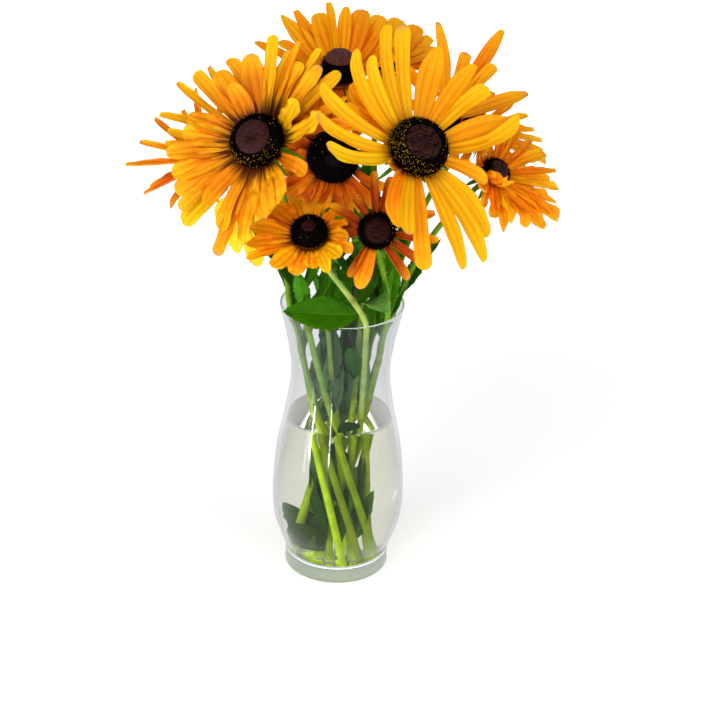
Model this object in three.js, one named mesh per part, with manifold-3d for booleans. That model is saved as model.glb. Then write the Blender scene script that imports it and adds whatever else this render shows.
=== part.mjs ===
// A glass hourglass vase that holds a bouquet of cut black-eyed Susans standing in water.
// Millimetres, +Z up. The origin is the centre of the vase's flat underside, and the bouquet's
// front looks along -Y. Each flower has a domed cone of disc florets, a whorl of ray petals grown
// on one receptacle, a green whorl of bracts behind them, and a stem that reaches the vase floor.
import * as THREE from 'three';
import { mergeVertices } from 'three/addons/utils/BufferGeometryUtils.js';
import Module from 'manifold-3d';

const wasm = await Module();
wasm.setup();

// ---- Driving dimensions ----

const GAP = 0.3;                  // clearance between neighbouring pieces
const SOAK_GAP = 1.3 * GAP;       // room in the water round a stem or a leaf
const VASE_HEIGHT = 180;
const VASE_WALL = 2.3;
const VASE_FLOOR = 8.6;           // thickness of the glass foot
const VASE_SIDES = 36;
const VASE_STEPS = 13;            // points along the glass outline
const FOOT_RADIUS = 30.6;         // the flat disc that the vase stands on
const FOOT_EDGE = [1.3, 0.9];     // bevel round the foot: outwards and upwards
const FLOOR_CORNERS = [[0.8, 1.8], [3.2, 0]]; // inside of the foot: in from the wall, above the floor
const FLOOR_CURVE = 5;            // height above the floor where the straight wall begins
const RIM_ROUND = 1.1;            // radius of the fire-polished rim
const WATER_LEVEL = 105;
const WATER_CORNER = 4;           // how far the water's floor stays in from its wall
const STEM_RADIUS = 2;
const STEM_SIDES = 6;
const STEM_STEPS = 11;
const STEM_FOOT_Z = 9.5;          // centre of the cut end, just off the vase floor
const MOUTH_Z = 176;              // height where a stem leaves its straight run in the vase
const STEM_TWIST = 118;           // degrees that a stem's foot is turned from its place at the mouth
const RECEPTACLE_HALF = 1.3;      // half the thickness of the plate that the rays grow on
const RECEPTACLE_RIM = 1.2;       // reach of the plate past the roots of the rays
const ROOT_SHARE = 0.8;           // radius of the rays' roots as a share of the cone's radius
const CUP_DEPTH = 3.4;            // green cup under the receptacle
const CUP_RIM = 1.2;              // straight edge at the top of the cup
const CUP_SIDES = 10;
const CONE_SIDES = 12;
const CONE_SEAT = 0.45;           // height of a cone's centre above the plate, as a share of its own

// outline of a cone: shares of its radius and of its height above the plate
const CONE_OUTLINE = [[0, 0], [0.84, 0], [1, 0.3], [0.95, 0.6], [0.7, 0.88], [0, 1]];

const BRACT_LENGTH = 15;
const BRACT_WIDTH = 4.2;
const BRACT_THICK = 1;
const BRACT_PITCH = 1.7;          // radius of the cup for each bract of the whorl
const BRACT_EXTRA = 3;            // bracts more than the pitch gives
const BRACT_ROOT = [2, 1.4];      // root of a bract: in from the cup's edge, below its top
const BRACT_VARIES = 3;           // a bract is up to this much longer or shorter
const BRACT_MIDDLE = 0.45;        // share of a bract's length where it starts to narrow
const PLATE_SIDES = 16;
const RAY_KEEL = 0.9;             // depth of a ray petal's section at its middle
const RAY_LIP = 0.2;              // rise of the flat top over the rolled blade's edge
const RAY_STATIONS = [0, 0.4, 0.78];
const RAY_WIDEST = 0.62;          // share of a ray's length where it is widest
const LEAF_KEEL = 0.7;
const LEAF_STATIONS = [0.2, 0.45, 0.75];
const LEAF_FOLD = 0.25;           // rise of the blade's edge for each unit of half width
const LEAF_STALK = 0.1;           // width of the stalk as a share of the blade's

// outline of the glass: outer radius at each height, foot pinch, belly, waist and flared rim
const VASE_OUTLINE = [
  [32.4, 3], [32.8, 13], [36, 22.5], [40, 36], [40.8, 56],
  [38.4, 84], [33.5, 109], [30.3, 134], [32.6, 155], [37.7, VASE_HEIGHT - RIM_ROUND],
];

// the two rings of the bunch: how far from the axis a stem stands at its foot and at the mouth
const RINGS = {
  outer: { foot: 20, mouth: 31.5 },
  inner: { foot: 8, mouth: 15.5 },
};

// ray petals: full width laid flat, and how far the edges roll up (0 flat, 1 a closed tube)
const RAY_KINDS = {
  wide: { width: 14, roll: 0.10 },
  broad: { width: 11.5, roll: 0.14 },
  strap: { width: 8.5, roll: 0.30 },
  quill: { width: 7.5, roll: 0.70 },
};

// Each bloom: the centre of its cone, where it faces (azimuth from -Y towards +X, elevation), the
// cone's radius and height, its stem (ring, degrees round the mouth, straight lead past the mouth,
// straight reach behind the bloom), how far its bracts bend back, and its rays as
// [kind, clock angle seen from the front, length, lift above the plate, curl, sideways sway].
const BLOOMS = {
  front_right: {
    at: [41, -54, 301], faces: [25, 42], cone: [16.8, 15], stem: ['inner', -40, 55, 45], bracts: -30,
    rays: [
      ['strap', 318, 49, 12, 10, 22], ['strap', 331, 44, 16, 5, 14], ['strap', 347, 58, 15, 0, 12],
      ['strap', 0, 58, 15, 0, 6], ['broad', 23, 50, 12, 0, 4], ['strap', 43, 51, 10, 0, 6],
      ['strap', 57, 46, 10, 0, 4], ['broad', 82, 48, 10, -4, 2], ['strap', 98, 50, 8, 8, -18],
      ['strap', 120, 32, 4, -10, 0], ['wide', 145, 49, 2, -6, 8], ['strap', 158, 60, 6, 0, 8],
      ['strap', 171, 60, 4, 0, 5], ['strap', 193, 56, 0, -4, -2], ['strap', 208, 40, 6, 4, -6],
      ['strap', 226, 36, 10, 0, -20], ['strap', 243, 12, 20, 30, 0], ['strap', 262, 42, 8, 12, 18],
      ['strap', 278, 49, 10, 12, 16], ['strap', 296, 53, 12, 10, 12], ['broad', 305, 34, 6, -6, 8],
    ],
  },
  front_left: {
    at: [-50, -41, 297], faces: [-25, 38], cone: [15.2, 14], stem: ['outer', -130, 40, 40], bracts: -34,
    rays: [
      ['wide', 340, 40, 14, 2, 0], ['broad', 322, 27, 24, 10, 0], ['strap', 331, 42, 8, 0, -8],
      ['wide', 314, 39, 10, 0, 0], ['quill', 309, 46, 6, 0, 2], ['strap', 302, 48, 8, 0, 0],
      ['quill', 290, 53, 6, 0, 2], ['quill', 276, 54, 4, 0, -2], ['broad', 278, 36, 10, 0, 0],
      ['quill', 262, 48, -2, 0, 6], ['wide', 266, 36, 8, -2, 0], ['quill', 256, 47, -2, 4, 4],
      ['broad', 252, 44, 6, 0, 0], ['wide', 240, 43, 4, 0, 0], ['wide', 228, 44, 2, 0, 0],
      ['strap', 220, 47, 0, 0, -2], ['wide', 214, 52, -8, 0, 0], ['broad', 206, 35, 10, 4, -4],
      ['strap', 190, 42, 4, -6, -4], ['strap', 184, 56, -2, 0, 0], ['broad', 172, 45, 0, 0, 2],
      ['wide', 156, 32, 0, -10, 6], ['broad', 138, 26, 6, -20, 10], ['strap', 110, 28, 20, -10, 0],
      ['broad', 72, 36, 32, 0, -6], ['broad', 46, 24, 38, -8, -6], ['strap', 34, 46, 26, -4, 0],
      ['strap', 17, 40, 20, 0, 2], ['strap', 355, 50, 15, 0, 0], ['strap', 5, 44, 12, 0, 2],
    ],
  },
  top: {
    at: [-5, 10, 324], faces: [0, 80], cone: [10.5, 19], stem: ['inner', 130, 50, 50], bracts: -50,
    rays: [
      ['wide', 321, 52, 20, 0, 0], ['broad', 299, 50, 8, 4, 0], ['strap', 331, 53, 20, 0, 0],
      ['wide', 344, 46, 24, 0, 0], ['strap', 351, 50, 28, 0, 0], ['strap', 3, 48, 27, 0, 0],
      ['wide', 14, 48, 26, 0, 0], ['wide', 28, 48, 20, 0, 0], ['broad', 311, 40, 12, 0, 0],
      ['broad', 285, 40, 0, -6, 0], ['strap', 265, 34, -12, -10, 0], ['broad', 245, 26, -30, -10, 0],
      ['strap', 210, 20, -30, -20, 0], ['strap', 180, 18, -30, -20, 0], ['strap', 150, 20, -30, -20, 0],
      ['broad', 60, 30, 14, 0, 0], ['strap', 95, 24, -10, -20, 0], ['strap', 120, 20, -30, -20, 0],
    ],
  },
  centre: {
    at: [-7, -20, 280], faces: [0, 12], cone: [14.6, 15], stem: ['inner', -125, 45, 45], bracts: -60,
    rays: [
      ['broad', 226, 41, -8, -8, 0], ['strap', 238, 34, -4, -10, 0], ['broad', 214, 34, -22, -10, 0],
      ['strap', 202, 32, -20, -20, 0], ['broad', 192, 30, -24, -10, 0], ['quill', 184, 20, 0, 40, 20],
      ['strap', 172, 32, -20, -14, 0], ['broad', 158, 30, -18, -10, 0], ['strap', 142, 30, -14, -16, 0],
      ['strap', 125, 26, -10, -16, 0], ['strap', 250, 26, -10, 0, 0], ['broad', 266, 15, 0, 20, 0],
      ['strap', 285, 22, -20, -20, 0], ['strap', 315, 18, -50, -10, 0], ['strap', 0, 16, -50, -10, 0],
      ['strap', 45, 16, -50, -10, 0], ['strap', 85, 18, -40, -10, 0],
    ],
  },
  low_left: {
    at: [-19, -56, 249], faces: [-10, 58], cone: [10.4, 11], stem: ['outer', -62, 15, 20], bracts: -40,
    rays: [
      ['broad', 329, 19, 12, 0, 0], ['broad', 311, 20, 12, 0, 0], ['strap', 290, 25, 6, 0, 0],
      ['broad', 272, 25, 4, 0, 0], ['broad', 255, 27, 2, 0, 0], ['strap', 240, 29, 0, 0, 0],
      ['wide', 216, 21, -2, 0, 0], ['wide', 190, 18, -4, 0, 0], ['broad', 164, 14, 0, 0, 0],
      ['strap', 146, 17, 4, 0, 0], ['broad', 122, 16, 6, 0, 0], ['strap', 102, 18, 0, -10, 0],
      ['broad', 80, 14, 0, -10, 0], ['strap', 55, 15, 0, -10, 0], ['strap', 30, 15, 0, 0, 0],
      ['strap', 0, 15, 0, 0, 0],
    ],
  },
  low_right: {
    at: [19, -50, 248], faces: [5, 25], cone: [10.4, 12], stem: ['outer', -31, 20, 30], bracts: -45,
    rays: [
      ['quill', 358, 26, 6, 0, 0], ['quill', 17, 24, 2, -6, 0], ['quill', 300, 22, 6, 0, 0],
      ['quill', 284, 16, -10, 0, 0], ['quill', 266, 17, -8, 0, 0], ['quill', 73, 27, 4, 0, 0],
      ['quill', 99, 28, 2, 0, 0], ['quill', 124, 26, 0, 0, 0], ['quill', 146, 25, -2, 0, 0],
      ['broad', 197, 26, -4, 0, 0], ['quill', 211, 22, -2, 0, 0], ['quill', 330, 16, -20, -20, 0],
      ['quill', 46, 16, -20, -20, 0],
    ],
  },
  right: {
    at: [87, -14, 272], faces: [50, 45], cone: [8.5, 9], stem: ['outer', -1, 40, 40], bracts: -40,
    rays: [
      ['strap', 91, 37, 10, 0, 0], ['quill', 106, 41, 6, 0, 0], ['quill', 114, 37, 2, 0, 0],
      ['quill', 123, 40, 4, 0, 0], ['quill', 132, 40, 2, 0, 0], ['strap', 141, 43, 4, 0, 0],
      ['quill', 148, 42, 0, 0, 0], ['broad', 157, 38, 0, 0, 0], ['strap', 168, 30, -4, 0, 0],
      ['broad', 186, 24, -8, 0, 0], ['quill', 202, 28, -10, 0, 0], ['strap', 216, 22, -6, 0, 0],
      ['quill', 238, 20, 0, 0, 0], ['strap', 256, 22, 10, 30, 0], ['strap', 278, 24, 14, 30, 0],
      ['quill', 296, 26, 10, 0, 0], ['strap', 320, 20, 22, 70, 0], ['strap', 345, 18, 22, 70, 0],
      ['quill', 20, 28, 20, 0, 0], ['quill', 45, 34, 14, 0, 0], ['quill', 62, 36, 10, 0, 0],
      ['quill', 78, 36, 8, 0, 0],
    ],
  },
  behind_right: {
    at: [57, 10, 295], faces: [20, 42], cone: [9, 10], stem: ['inner', 40, 55, 45], bracts: -60,
    rays: [
      ['strap', 12, 52, 10, 0, -6], ['strap', 43, 64, 5, 0, 0], ['strap', 50, 41, 8, 0, 2],
      ['strap', 78, 51, 0, 0, 0], ['strap', 30, 40, 4, 0, 0], ['strap', 340, 34, -10, 0, 0],
      ['strap', 310, 28, -20, 0, 0], ['strap', 280, 26, -30, 0, 0],
      ['strap', 160, 24, -50, 0, 0], ['strap', 200, 24, -50, 0, 0], ['strap', 240, 24, -50, 0, 0],
    ],
  },
  behind_top: {
    at: [21, 42, 317], faces: [30, 70], cone: [6.5, 8], stem: ['outer', 62, 45, 50], bracts: -65,
    rays: [
      ['wide', 22, 40, 10, 0, 0], ['wide', 38, 41, 8, 0, 0], ['wide', 54, 43, 4, 0, 0],
      ['broad', 66, 43, 2, 0, 0], ['broad', 80, 40, 0, 0, 0], ['broad', 94, 36, -6, 0, 0],
      ['strap', 0, 36, 8, 0, 0], ['strap', 340, 34, 0, 0, 0], ['strap', 315, 26, -20, -10, 0],
      ['strap', 120, 30, -20, -10, 0], ['strap', 285, 22, -50, 0, 0], ['strap', 150, 22, -50, 0, 0],
      ['strap', 240, 20, -55, 0, 0], ['strap', 195, 20, -55, 0, 0],
    ],
  },
  far_left: {
    at: [-84, 14, 265], faces: [-50, 45], cone: [9, 10], stem: ['outer', 165, 35, 35], bracts: -60,
    rays: [
      ['quill', 314, 44, 14, 0, 0], ['quill', 277, 54, 4, 0, 0], ['quill', 261, 52, 4, 0, 0],
      ['quill', 245, 55, 4, 0, 0], ['quill', 217, 40, 2, 0, 4], ['quill', 296, 40, 6, 0, 0],
      ['quill', 335, 34, 4, 0, 0], ['quill', 0, 30, -10, 0, 0], ['quill', 230, 40, -6, 0, 0],
      ['quill', 195, 30, -10, 0, 0], ['quill', 170, 24, -30, 0, 0], ['quill', 140, 20, -40, 0, 0],
      ['quill', 40, 22, -40, 0, 0], ['quill', 90, 18, -50, 0, 0],
    ],
  },
  low_behind: {
    at: [-53, 2, 246], faces: [-40, 8], cone: [9, 10], stem: ['outer', -165, 30, 35], bracts: -65,
    rays: [
      ['wide', 214, 50, -12, -6, 0], ['wide', 200, 40, -20, 0, 0], ['broad', 238, 42, -8, -6, 0],
      ['broad', 182, 26, -24, 0, 0], ['broad', 160, 20, -40, 0, 0], ['strap', 260, 14, -10, -10, 0],
      ['strap', 280, 14, -20, -10, 0], ['strap', 300, 20, -50, 0, 0], ['strap', 20, 18, -55, 0, 0],
      ['strap', 60, 18, -55, 0, 0], ['strap', 100, 20, -50, 0, 0], ['strap', 135, 16, -50, 0, 0],
      ['strap', 340, 18, -55, 0, 0],
    ],
  },
  far_right: {
    at: [78, 24, 286], faces: [60, 55], cone: [9, 10], stem: ['outer', 29, 45, 45], bracts: -60,
    rays: [
      ['quill', 101, 44, 2, 0, 0], ['quill', 112, 44, 0, 0, 0], ['quill', 122, 45, 0, 0, 0],
      ['quill', 131, 44, -2, 0, 0], ['quill', 140, 46, -4, 0, 0], ['quill', 88, 40, 4, 0, 0],
      ['quill', 70, 36, 4, 0, 0], ['quill', 50, 34, 0, 0, 0], ['quill', 25, 30, 0, 0, 0],
      ['quill', 0, 26, -4, 0, 0], ['quill', 335, 12, -20, 0, 0], ['quill', 155, 34, -10, 0, 0],
      ['quill', 175, 26, -30, 0, 0], ['quill', 205, 20, -50, 0, 0], ['quill', 240, 18, -50, 0, 0],
      ['quill', 275, 9, -55, 0, 0], ['quill', 305, 8, -45, 0, 0],
    ],
  },
};

// Leaves: the stem that each grows on, how far up it (0 foot, 1 bloom) and out from its centre
// line, the heading of the midrib (azimuth from +X, elevation), how the blade is rolled about it,
// length, width, droop.
const LEAVES = {
  rim_leaf: { stem: 'low_left', at: [0.74, 3], heads: [192, 6], roll: -52, size: [45, 20], droop: 8 },
  curled_leaf: {
    stem: 'front_right', at: [0.6, 2.6], heads: [-70, 40], roll: 20, size: [30, 16], droop: -50,
  },
  torn_leaf: { stem: 'low_behind', at: [0.78, 1.9], heads: [200, 50], roll: 0, size: [20, 9], droop: -30 },
  mouth_leaf: { stem: 'right', at: [0.66, 3.3], heads: [30, 60], roll: 0, size: [40, 15], droop: -20 },
  left_leaf: { stem: 'front_left', at: [0.66, 2.6], heads: [150, 60], roll: 0, size: [44, 16], droop: -30 },
  back_leaf: { stem: 'behind_top', at: [0.6, 3.25], heads: [100, 60], roll: 0, size: [50, 20], droop: -50 },
  centre_leaf: { stem: 'centre', at: [0.72, 2.2], heads: [250, 60], roll: 0, size: [36, 16], droop: -40 },
  neck_leaf: {
    stem: 'front_right', at: [0.42, 2.4], heads: [-100, 68], roll: 0, size: [30, 13], droop: -10,
  },
  waterline_leaf: {
    stem: 'low_left', at: [0.37, 2.4], heads: [232, 20], roll: 0, size: [20, 12], droop: -20,
  },
  sunken_leaf: { stem: 'behind_top', at: [0.04, 2.8], heads: [-75, 8], roll: 40, size: [21, 14], droop: 0 },
};
const SOAKED_LEAVES = ['waterline_leaf', 'sunken_leaf'];

// ---- Finishes ----

const glass = new THREE.MeshStandardMaterial({
  color: 0xdfe9ee, roughness: 0.05, metalness: 0, transparent: true, opacity: 0.35,
});
const water = new THREE.MeshStandardMaterial({
  color: 0xd8dccb, roughness: 0.05, metalness: 0, transparent: true, opacity: 0.5,
});
const coneBrown = new THREE.MeshStandardMaterial({ color: 0x2a1216, roughness: 0.9, metalness: 0 });
const rayOrange = new THREE.MeshStandardMaterial({ color: 0xf79a14, roughness: 0.6, metalness: 0 });
const bractGreen = new THREE.MeshStandardMaterial({ color: 0x4f7d2c, roughness: 0.8, metalness: 0 });
const stemGreen = new THREE.MeshStandardMaterial({ color: 0x7d9a3a, roughness: 0.7, metalness: 0 });
const leafGreen = new THREE.MeshStandardMaterial({ color: 0x3f7f25, roughness: 0.7, metalness: 0 });

// ---- Solids ----

// closed solid of the boolean library from a three.js geometry: points merged, slivers left out
function toSolid(geometry) {
  const bare = geometry.index ? geometry.toNonIndexed() : geometry.clone();
  bare.deleteAttribute('normal');
  bare.deleteAttribute('uv');
  const merged = mergeVertices(bare, 1e-4);
  const index = merged.index.array;
  const kept = [];
  for (let i = 0; i < index.length; i += 3) {
    const [a, b, c] = [index[i], index[i + 1], index[i + 2]];
    if (a !== b && b !== c && c !== a) kept.push(a, b, c);
  }
  return new wasm.Manifold(new wasm.Mesh({
    numProp: 3,
    vertProperties: Float32Array.from(merged.attributes.position.array),
    triVerts: Uint32Array.from(kept),
  }));
}

function toGeometry(solid) {
  const mesh = solid.getMesh();
  const geometry = new THREE.BufferGeometry();
  geometry.setAttribute('position', new THREE.BufferAttribute(mesh.vertProperties, 3));
  geometry.setIndex(new THREE.BufferAttribute(mesh.triVerts, 1));
  geometry.computeVertexNormals();
  return geometry;
}

// closed skin over rings of equally many points, with flat ends, or a point where a ring is one
function loft(rings) {
  const points = rings.flat();
  const triangles = [];
  let start = 0;
  for (let k = 0; k + 1 < rings.length; k++) {
    const count = rings[k].length;
    const next = start + count;
    for (let i = 0; i < count; i++) {
      const j = (i + 1) % count;
      if (rings[k + 1].length === 1) {
        triangles.push(start + j, start + i, next);
      } else {
        triangles.push(start + j, start + i, next + j, next + j, start + i, next + i);
      }
    }
    start = next;
  }
  for (let i = 1; i + 1 < rings[0].length; i++) triangles.push(0, i, i + 1);
  for (let i = 1; i + 1 < rings.at(-1).length; i++) triangles.push(start, start + i + 1, start + i);
  const geometry = new THREE.BufferGeometry();
  geometry.setAttribute('position', new THREE.Float32BufferAttribute(points.flatMap((p) => p.toArray()), 3));
  geometry.setIndex(triangles);
  return geometry;
}

// solid of revolution about Z from a profile of [radius, height], counter-clockwise from the axis
function turned(profile, sides) {
  const geometry = new THREE.LatheGeometry(profile.map(([r, z]) => new THREE.Vector2(r, z)), sides);
  return geometry.rotateX(Math.PI / 2);
}

function node(name, geometry, material) {
  const mesh = new THREE.Mesh(geometry, material);
  mesh.name = name;
  return mesh;
}

// ---- Vase and water ----

const outline = new THREE.SplineCurve(VASE_OUTLINE.map(([r, z]) => new THREE.Vector2(r, z)));

function vaseSolid() {
  const outside = outline.getPoints(VASE_STEPS).map((p) => [p.x, p.y]);
  const raised = outside.filter(([, z]) => z > VASE_FLOOR + FLOOR_CURVE);
  const inside = raised.map(([r, z]) => [r - VASE_WALL, z]).reverse();
  const rim = outside.at(-1)[0] - VASE_WALL / 2;
  const corners = FLOOR_CORNERS.map(([r, z]) => [inside.at(-1)[0] - r, VASE_FLOOR + z]);
  const profile = [
    [0, 0], [FOOT_RADIUS, 0], [FOOT_RADIUS + FOOT_EDGE[0], FOOT_EDGE[1]], ...outside,
    [rim, VASE_HEIGHT], ...inside, ...corners, [0, VASE_FLOOR],
  ];
  return turned(profile, VASE_SIDES);
}

function waterSolid(soaked) {
  const wall = VASE_WALL + GAP;
  const side = outline.getPoints(VASE_STEPS)
    .filter((p) => p.y > VASE_FLOOR + FLOOR_CURVE && p.y < WATER_LEVEL);
  const top = outline.getPoints(200).find((p) => p.y > WATER_LEVEL).x - wall - GAP;
  const profile = [
    [0, VASE_FLOOR + GAP], [side[0].x - wall - WATER_CORNER, VASE_FLOOR + GAP],
    ...side.map((p) => [p.x - wall, p.y]),
    [top, WATER_LEVEL], [0, WATER_LEVEL],
  ];
  return toGeometry(toSolid(turned(profile, VASE_SIDES)).subtract(wasm.Manifold.union(soaked)));
}

// ---- Stems ----

function facing([azimuth, elevation]) {
  const a = THREE.MathUtils.degToRad(azimuth);
  const e = THREE.MathUtils.degToRad(elevation);
  return new THREE.Vector3(Math.sin(a) * Math.cos(e), -Math.cos(a) * Math.cos(e), Math.sin(e));
}

// middle of the receptacle plate, below the cone's centre
function receptacle(bloom) {
  return new THREE.Vector3(...bloom.at).addScaledVector(facing(bloom.faces), -CONE_SEAT * bloom.cone[1]);
}

// a straight run from the vase floor to the mouth, then one bend that ends square behind the bloom
function stemPath(bloom) {
  const [ring, angle, lead, reach] = bloom.stem;
  const mouthAngle = THREE.MathUtils.degToRad(angle);
  const footAngle = THREE.MathUtils.degToRad(angle + STEM_TWIST);
  const { foot, mouth } = RINGS[ring];
  const low = new THREE.Vector3(foot * Math.cos(footAngle), foot * Math.sin(footAngle), STEM_FOOT_Z);
  const high = new THREE.Vector3(mouth * Math.cos(mouthAngle), mouth * Math.sin(mouthAngle), MOUTH_Z);
  const normal = facing(bloom.faces);
  const end = receptacle(bloom).addScaledVector(normal, -(RECEPTACLE_HALF + CUP_DEPTH + 2 * GAP));
  const rise = high.clone().sub(low).normalize();
  const path = new THREE.CurvePath();
  path.add(new THREE.LineCurve3(low, high));
  path.add(new THREE.CubicBezierCurve3(
    high, high.clone().addScaledVector(rise, lead), end.clone().addScaledVector(normal, -reach), end,
  ));
  return path;
}

function stemSolid(bloom, radius) {
  const shape = new THREE.Shape();
  for (let i = 0; i < STEM_SIDES; i++) {
    const a = (2 * Math.PI * i) / STEM_SIDES;
    const [x, y] = [radius * Math.cos(a), radius * Math.sin(a)];
    if (i === 0) shape.moveTo(x, y);
    else shape.lineTo(x, y);
  }
  shape.closePath();
  return new THREE.ExtrudeGeometry(shape, { steps: STEM_STEPS, extrudePath: stemPath(bloom) });
}

// ---- Leaves ----

// One leaf. It starts beside its stem and its midrib droops along an arc. The blade is an oval
// with a pointed tip, folded up a little at the midrib, and closed to a keel underneath. With a
// margin it is the leaf's room in the water, which opens into the room of the stem.
function leafSolid({ stem, at, heads, roll, size, droop }, margin = 0) {
  const [length, width] = size;
  const path = stemPath(BLOOMS[stem]);
  const azimuth = THREE.MathUtils.degToRad(heads[0]);
  const elevation = THREE.MathUtils.degToRad(heads[1]);
  const ahead = new THREE.Vector3(
    Math.cos(azimuth) * Math.cos(elevation), Math.sin(azimuth) * Math.cos(elevation), Math.sin(elevation),
  );
  const across = ahead.clone().cross(new THREE.Vector3(0, 0, 1)).normalize();
  across.applyAxisAngle(ahead, THREE.MathUtils.degToRad(roll));
  const above = across.clone().cross(ahead);
  const away = ahead.clone().projectOnPlane(path.getTangentAt(at[0])).normalize();
  const root = path.getPointAt(at[0]).addScaledVector(away, at[1]);
  const k = THREE.MathUtils.degToRad(droop) + 1e-4;
  const centre = (t) => root.clone()
    .addScaledVector(ahead, (length * Math.sin(k * t)) / k)
    .addScaledVector(above, (-length * (Math.cos(k * t) - 1)) / k);
  const start = margin > 0 ? (STEM_RADIUS / 2 - at[1]) / length : 0;
  const rings = [start, ...LEAF_STATIONS].map((t) => {
    const up = above.clone().multiplyScalar(Math.cos(k * t)).addScaledVector(ahead, -Math.sin(k * t));
    return leafSection((width / 2) * leafShare(t), margin)
      .map(([side, high]) => centre(t).addScaledVector(across, side).addScaledVector(up, high));
  });
  rings.push([centre(1 + (4 * margin) / length)]);
  return loft(rings);
}

// section of a leaf from its left edge by way of the keel to its right edge, as [side, height]
function leafSection(half, margin) {
  const edge = LEAF_FOLD * half;
  if (margin === 0) return [[-half, edge], [0, -LEAF_KEEL], [half, edge]];
  const wide = half + margin;
  return [
    [-wide, edge + margin], [-wide, edge - margin], [0, -LEAF_KEEL - margin],
    [wide, edge - margin], [wide, edge + margin],
  ];
}

// half width of a leaf as a share of its widest place
function leafShare(t) {
  return LEAF_STALK + (1 - LEAF_STALK) * Math.sin(Math.PI * Math.max(0, t) ** 0.8);
}

// ---- Blooms, in their own frame: X right, Y up and Z forward as seen from the front ----

// One ray petal. Its centre line leaves the plate at the lift angle and turns by the curl along an
// arc. It sways sideways with the cube of the distance. The section is the rolled blade filled in
// to a flat-topped keel.
function raySolid([kind, clock, length, lift, curl, sway], rootRadius) {
  const { width, roll } = RAY_KINDS[kind];
  const fold = Math.PI * roll;
  const bend = width / 2 / fold;
  const half = bend * Math.sin(Math.min(fold, Math.PI / 2));
  const edge = bend * (1 - Math.cos(Math.min(fold, Math.PI / 2)));
  const a = THREE.MathUtils.degToRad(lift);
  const k = THREE.MathUtils.degToRad(curl) + 1e-4;
  const turn = THREE.MathUtils.degToRad(clock);
  const radial = new THREE.Vector3(Math.sin(turn), Math.cos(turn), 0);
  const across = new THREE.Vector3(Math.cos(turn), -Math.sin(turn), 0);
  const centre = (t) => {
    const out = rootRadius + (length * (Math.sin(a + k * t) - Math.sin(a))) / k;
    const high = (-length * (Math.cos(a + k * t) - Math.cos(a))) / k;
    const side = length * Math.tan(THREE.MathUtils.degToRad(sway)) * t ** 3;
    return radial.clone().multiplyScalar(out).addScaledVector(across, side).setZ(high);
  };
  const rings = RAY_STATIONS.map((t) => {
    const share = rayShare(t);
    const middle = centre(t);
    const up = new THREE.Vector3(0, 0, 1).multiplyScalar(Math.cos(a + k * t));
    up.addScaledVector(radial, -Math.sin(a + k * t));
    return [
      middle.clone().addScaledVector(across, -half * share).addScaledVector(up, edge * share + RAY_LIP),
      middle.clone().addScaledVector(up, -RAY_KEEL / 2),
      middle.clone().addScaledVector(across, half * share).addScaledVector(up, edge * share + RAY_LIP),
    ];
  });
  rings.push([centre(1)]);
  return toSolid(loft(rings));
}

// width of a ray as a share of its widest place: two quarter ellipses end to end
function rayShare(t) {
  const reach = t < RAY_WIDEST ? RAY_WIDEST + 0.04 : 1 - RAY_WIDEST;
  return Math.sqrt(Math.max(0, 1 - ((t - RAY_WIDEST) / reach) ** 2));
}

function raysSolid(bloom) {
  const rootRadius = ROOT_SHARE * bloom.cone[0];
  const rim = rootRadius + RECEPTACLE_RIM;
  const plate = new THREE.CylinderGeometry(rim, rim, 2 * RECEPTACLE_HALF, PLATE_SIDES);
  const parts = bloom.rays.map((ray) => raySolid(ray, rootRadius));
  return toGeometry(wasm.Manifold.union([toSolid(plate.rotateX(Math.PI / 2)), ...parts]));
}

// domed cone of disc florets, widest a third of the way up
function coneSolid([radius, height]) {
  const base = RECEPTACLE_HALF + GAP;
  const tall = height - base;
  return turned(CONE_OUTLINE.map(([r, z]) => [r * radius, base + z * tall]), CONE_SIDES);
}

// green cup under the plate with a whorl of pointed bracts bent back
function bractsSolid(bloom) {
  const top = -RECEPTACLE_HALF - GAP;
  const rootRadius = ROOT_SHARE * bloom.cone[0];
  const cup = turned([
    [0, top - CUP_DEPTH], [STEM_RADIUS, top - CUP_DEPTH], [rootRadius, top - CUP_RIM],
    [rootRadius, top], [0, top],
  ], CUP_SIDES);
  const count = Math.round(rootRadius / BRACT_PITCH) + BRACT_EXTRA;
  const parts = [toSolid(cup)];
  const bend = THREE.MathUtils.degToRad(bloom.bracts);
  for (let i = 0; i < count; i++) {
    const turn = (2 * Math.PI * (i + 0.5)) / count;
    const length = BRACT_LENGTH + BRACT_VARIES * Math.sin(7.3 * i);
    const radial = new THREE.Vector3(Math.sin(turn), Math.cos(turn), 0);
    const across = new THREE.Vector3(Math.cos(turn), -Math.sin(turn), 0);
    const along = radial.clone().multiplyScalar(Math.cos(bend)).setZ(Math.sin(bend));
    const up = radial.clone().multiplyScalar(-Math.sin(bend)).setZ(Math.cos(bend));
    const root = radial.clone().multiplyScalar(rootRadius - BRACT_ROOT[0]).setZ(top - BRACT_ROOT[1]);
    const rings = [0, BRACT_MIDDLE].map((t) => [-1, 0, 1].map((side) => root.clone()
      .addScaledVector(along, length * t)
      .addScaledVector(across, (side * BRACT_WIDTH) / 2)
      .addScaledVector(up, side === 0 ? -BRACT_THICK : 0)));
    rings.push([root.clone().addScaledVector(along, length)]);
    parts.push(toSolid(loft(rings)));
  }
  return toGeometry(wasm.Manifold.union(parts));
}

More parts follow.
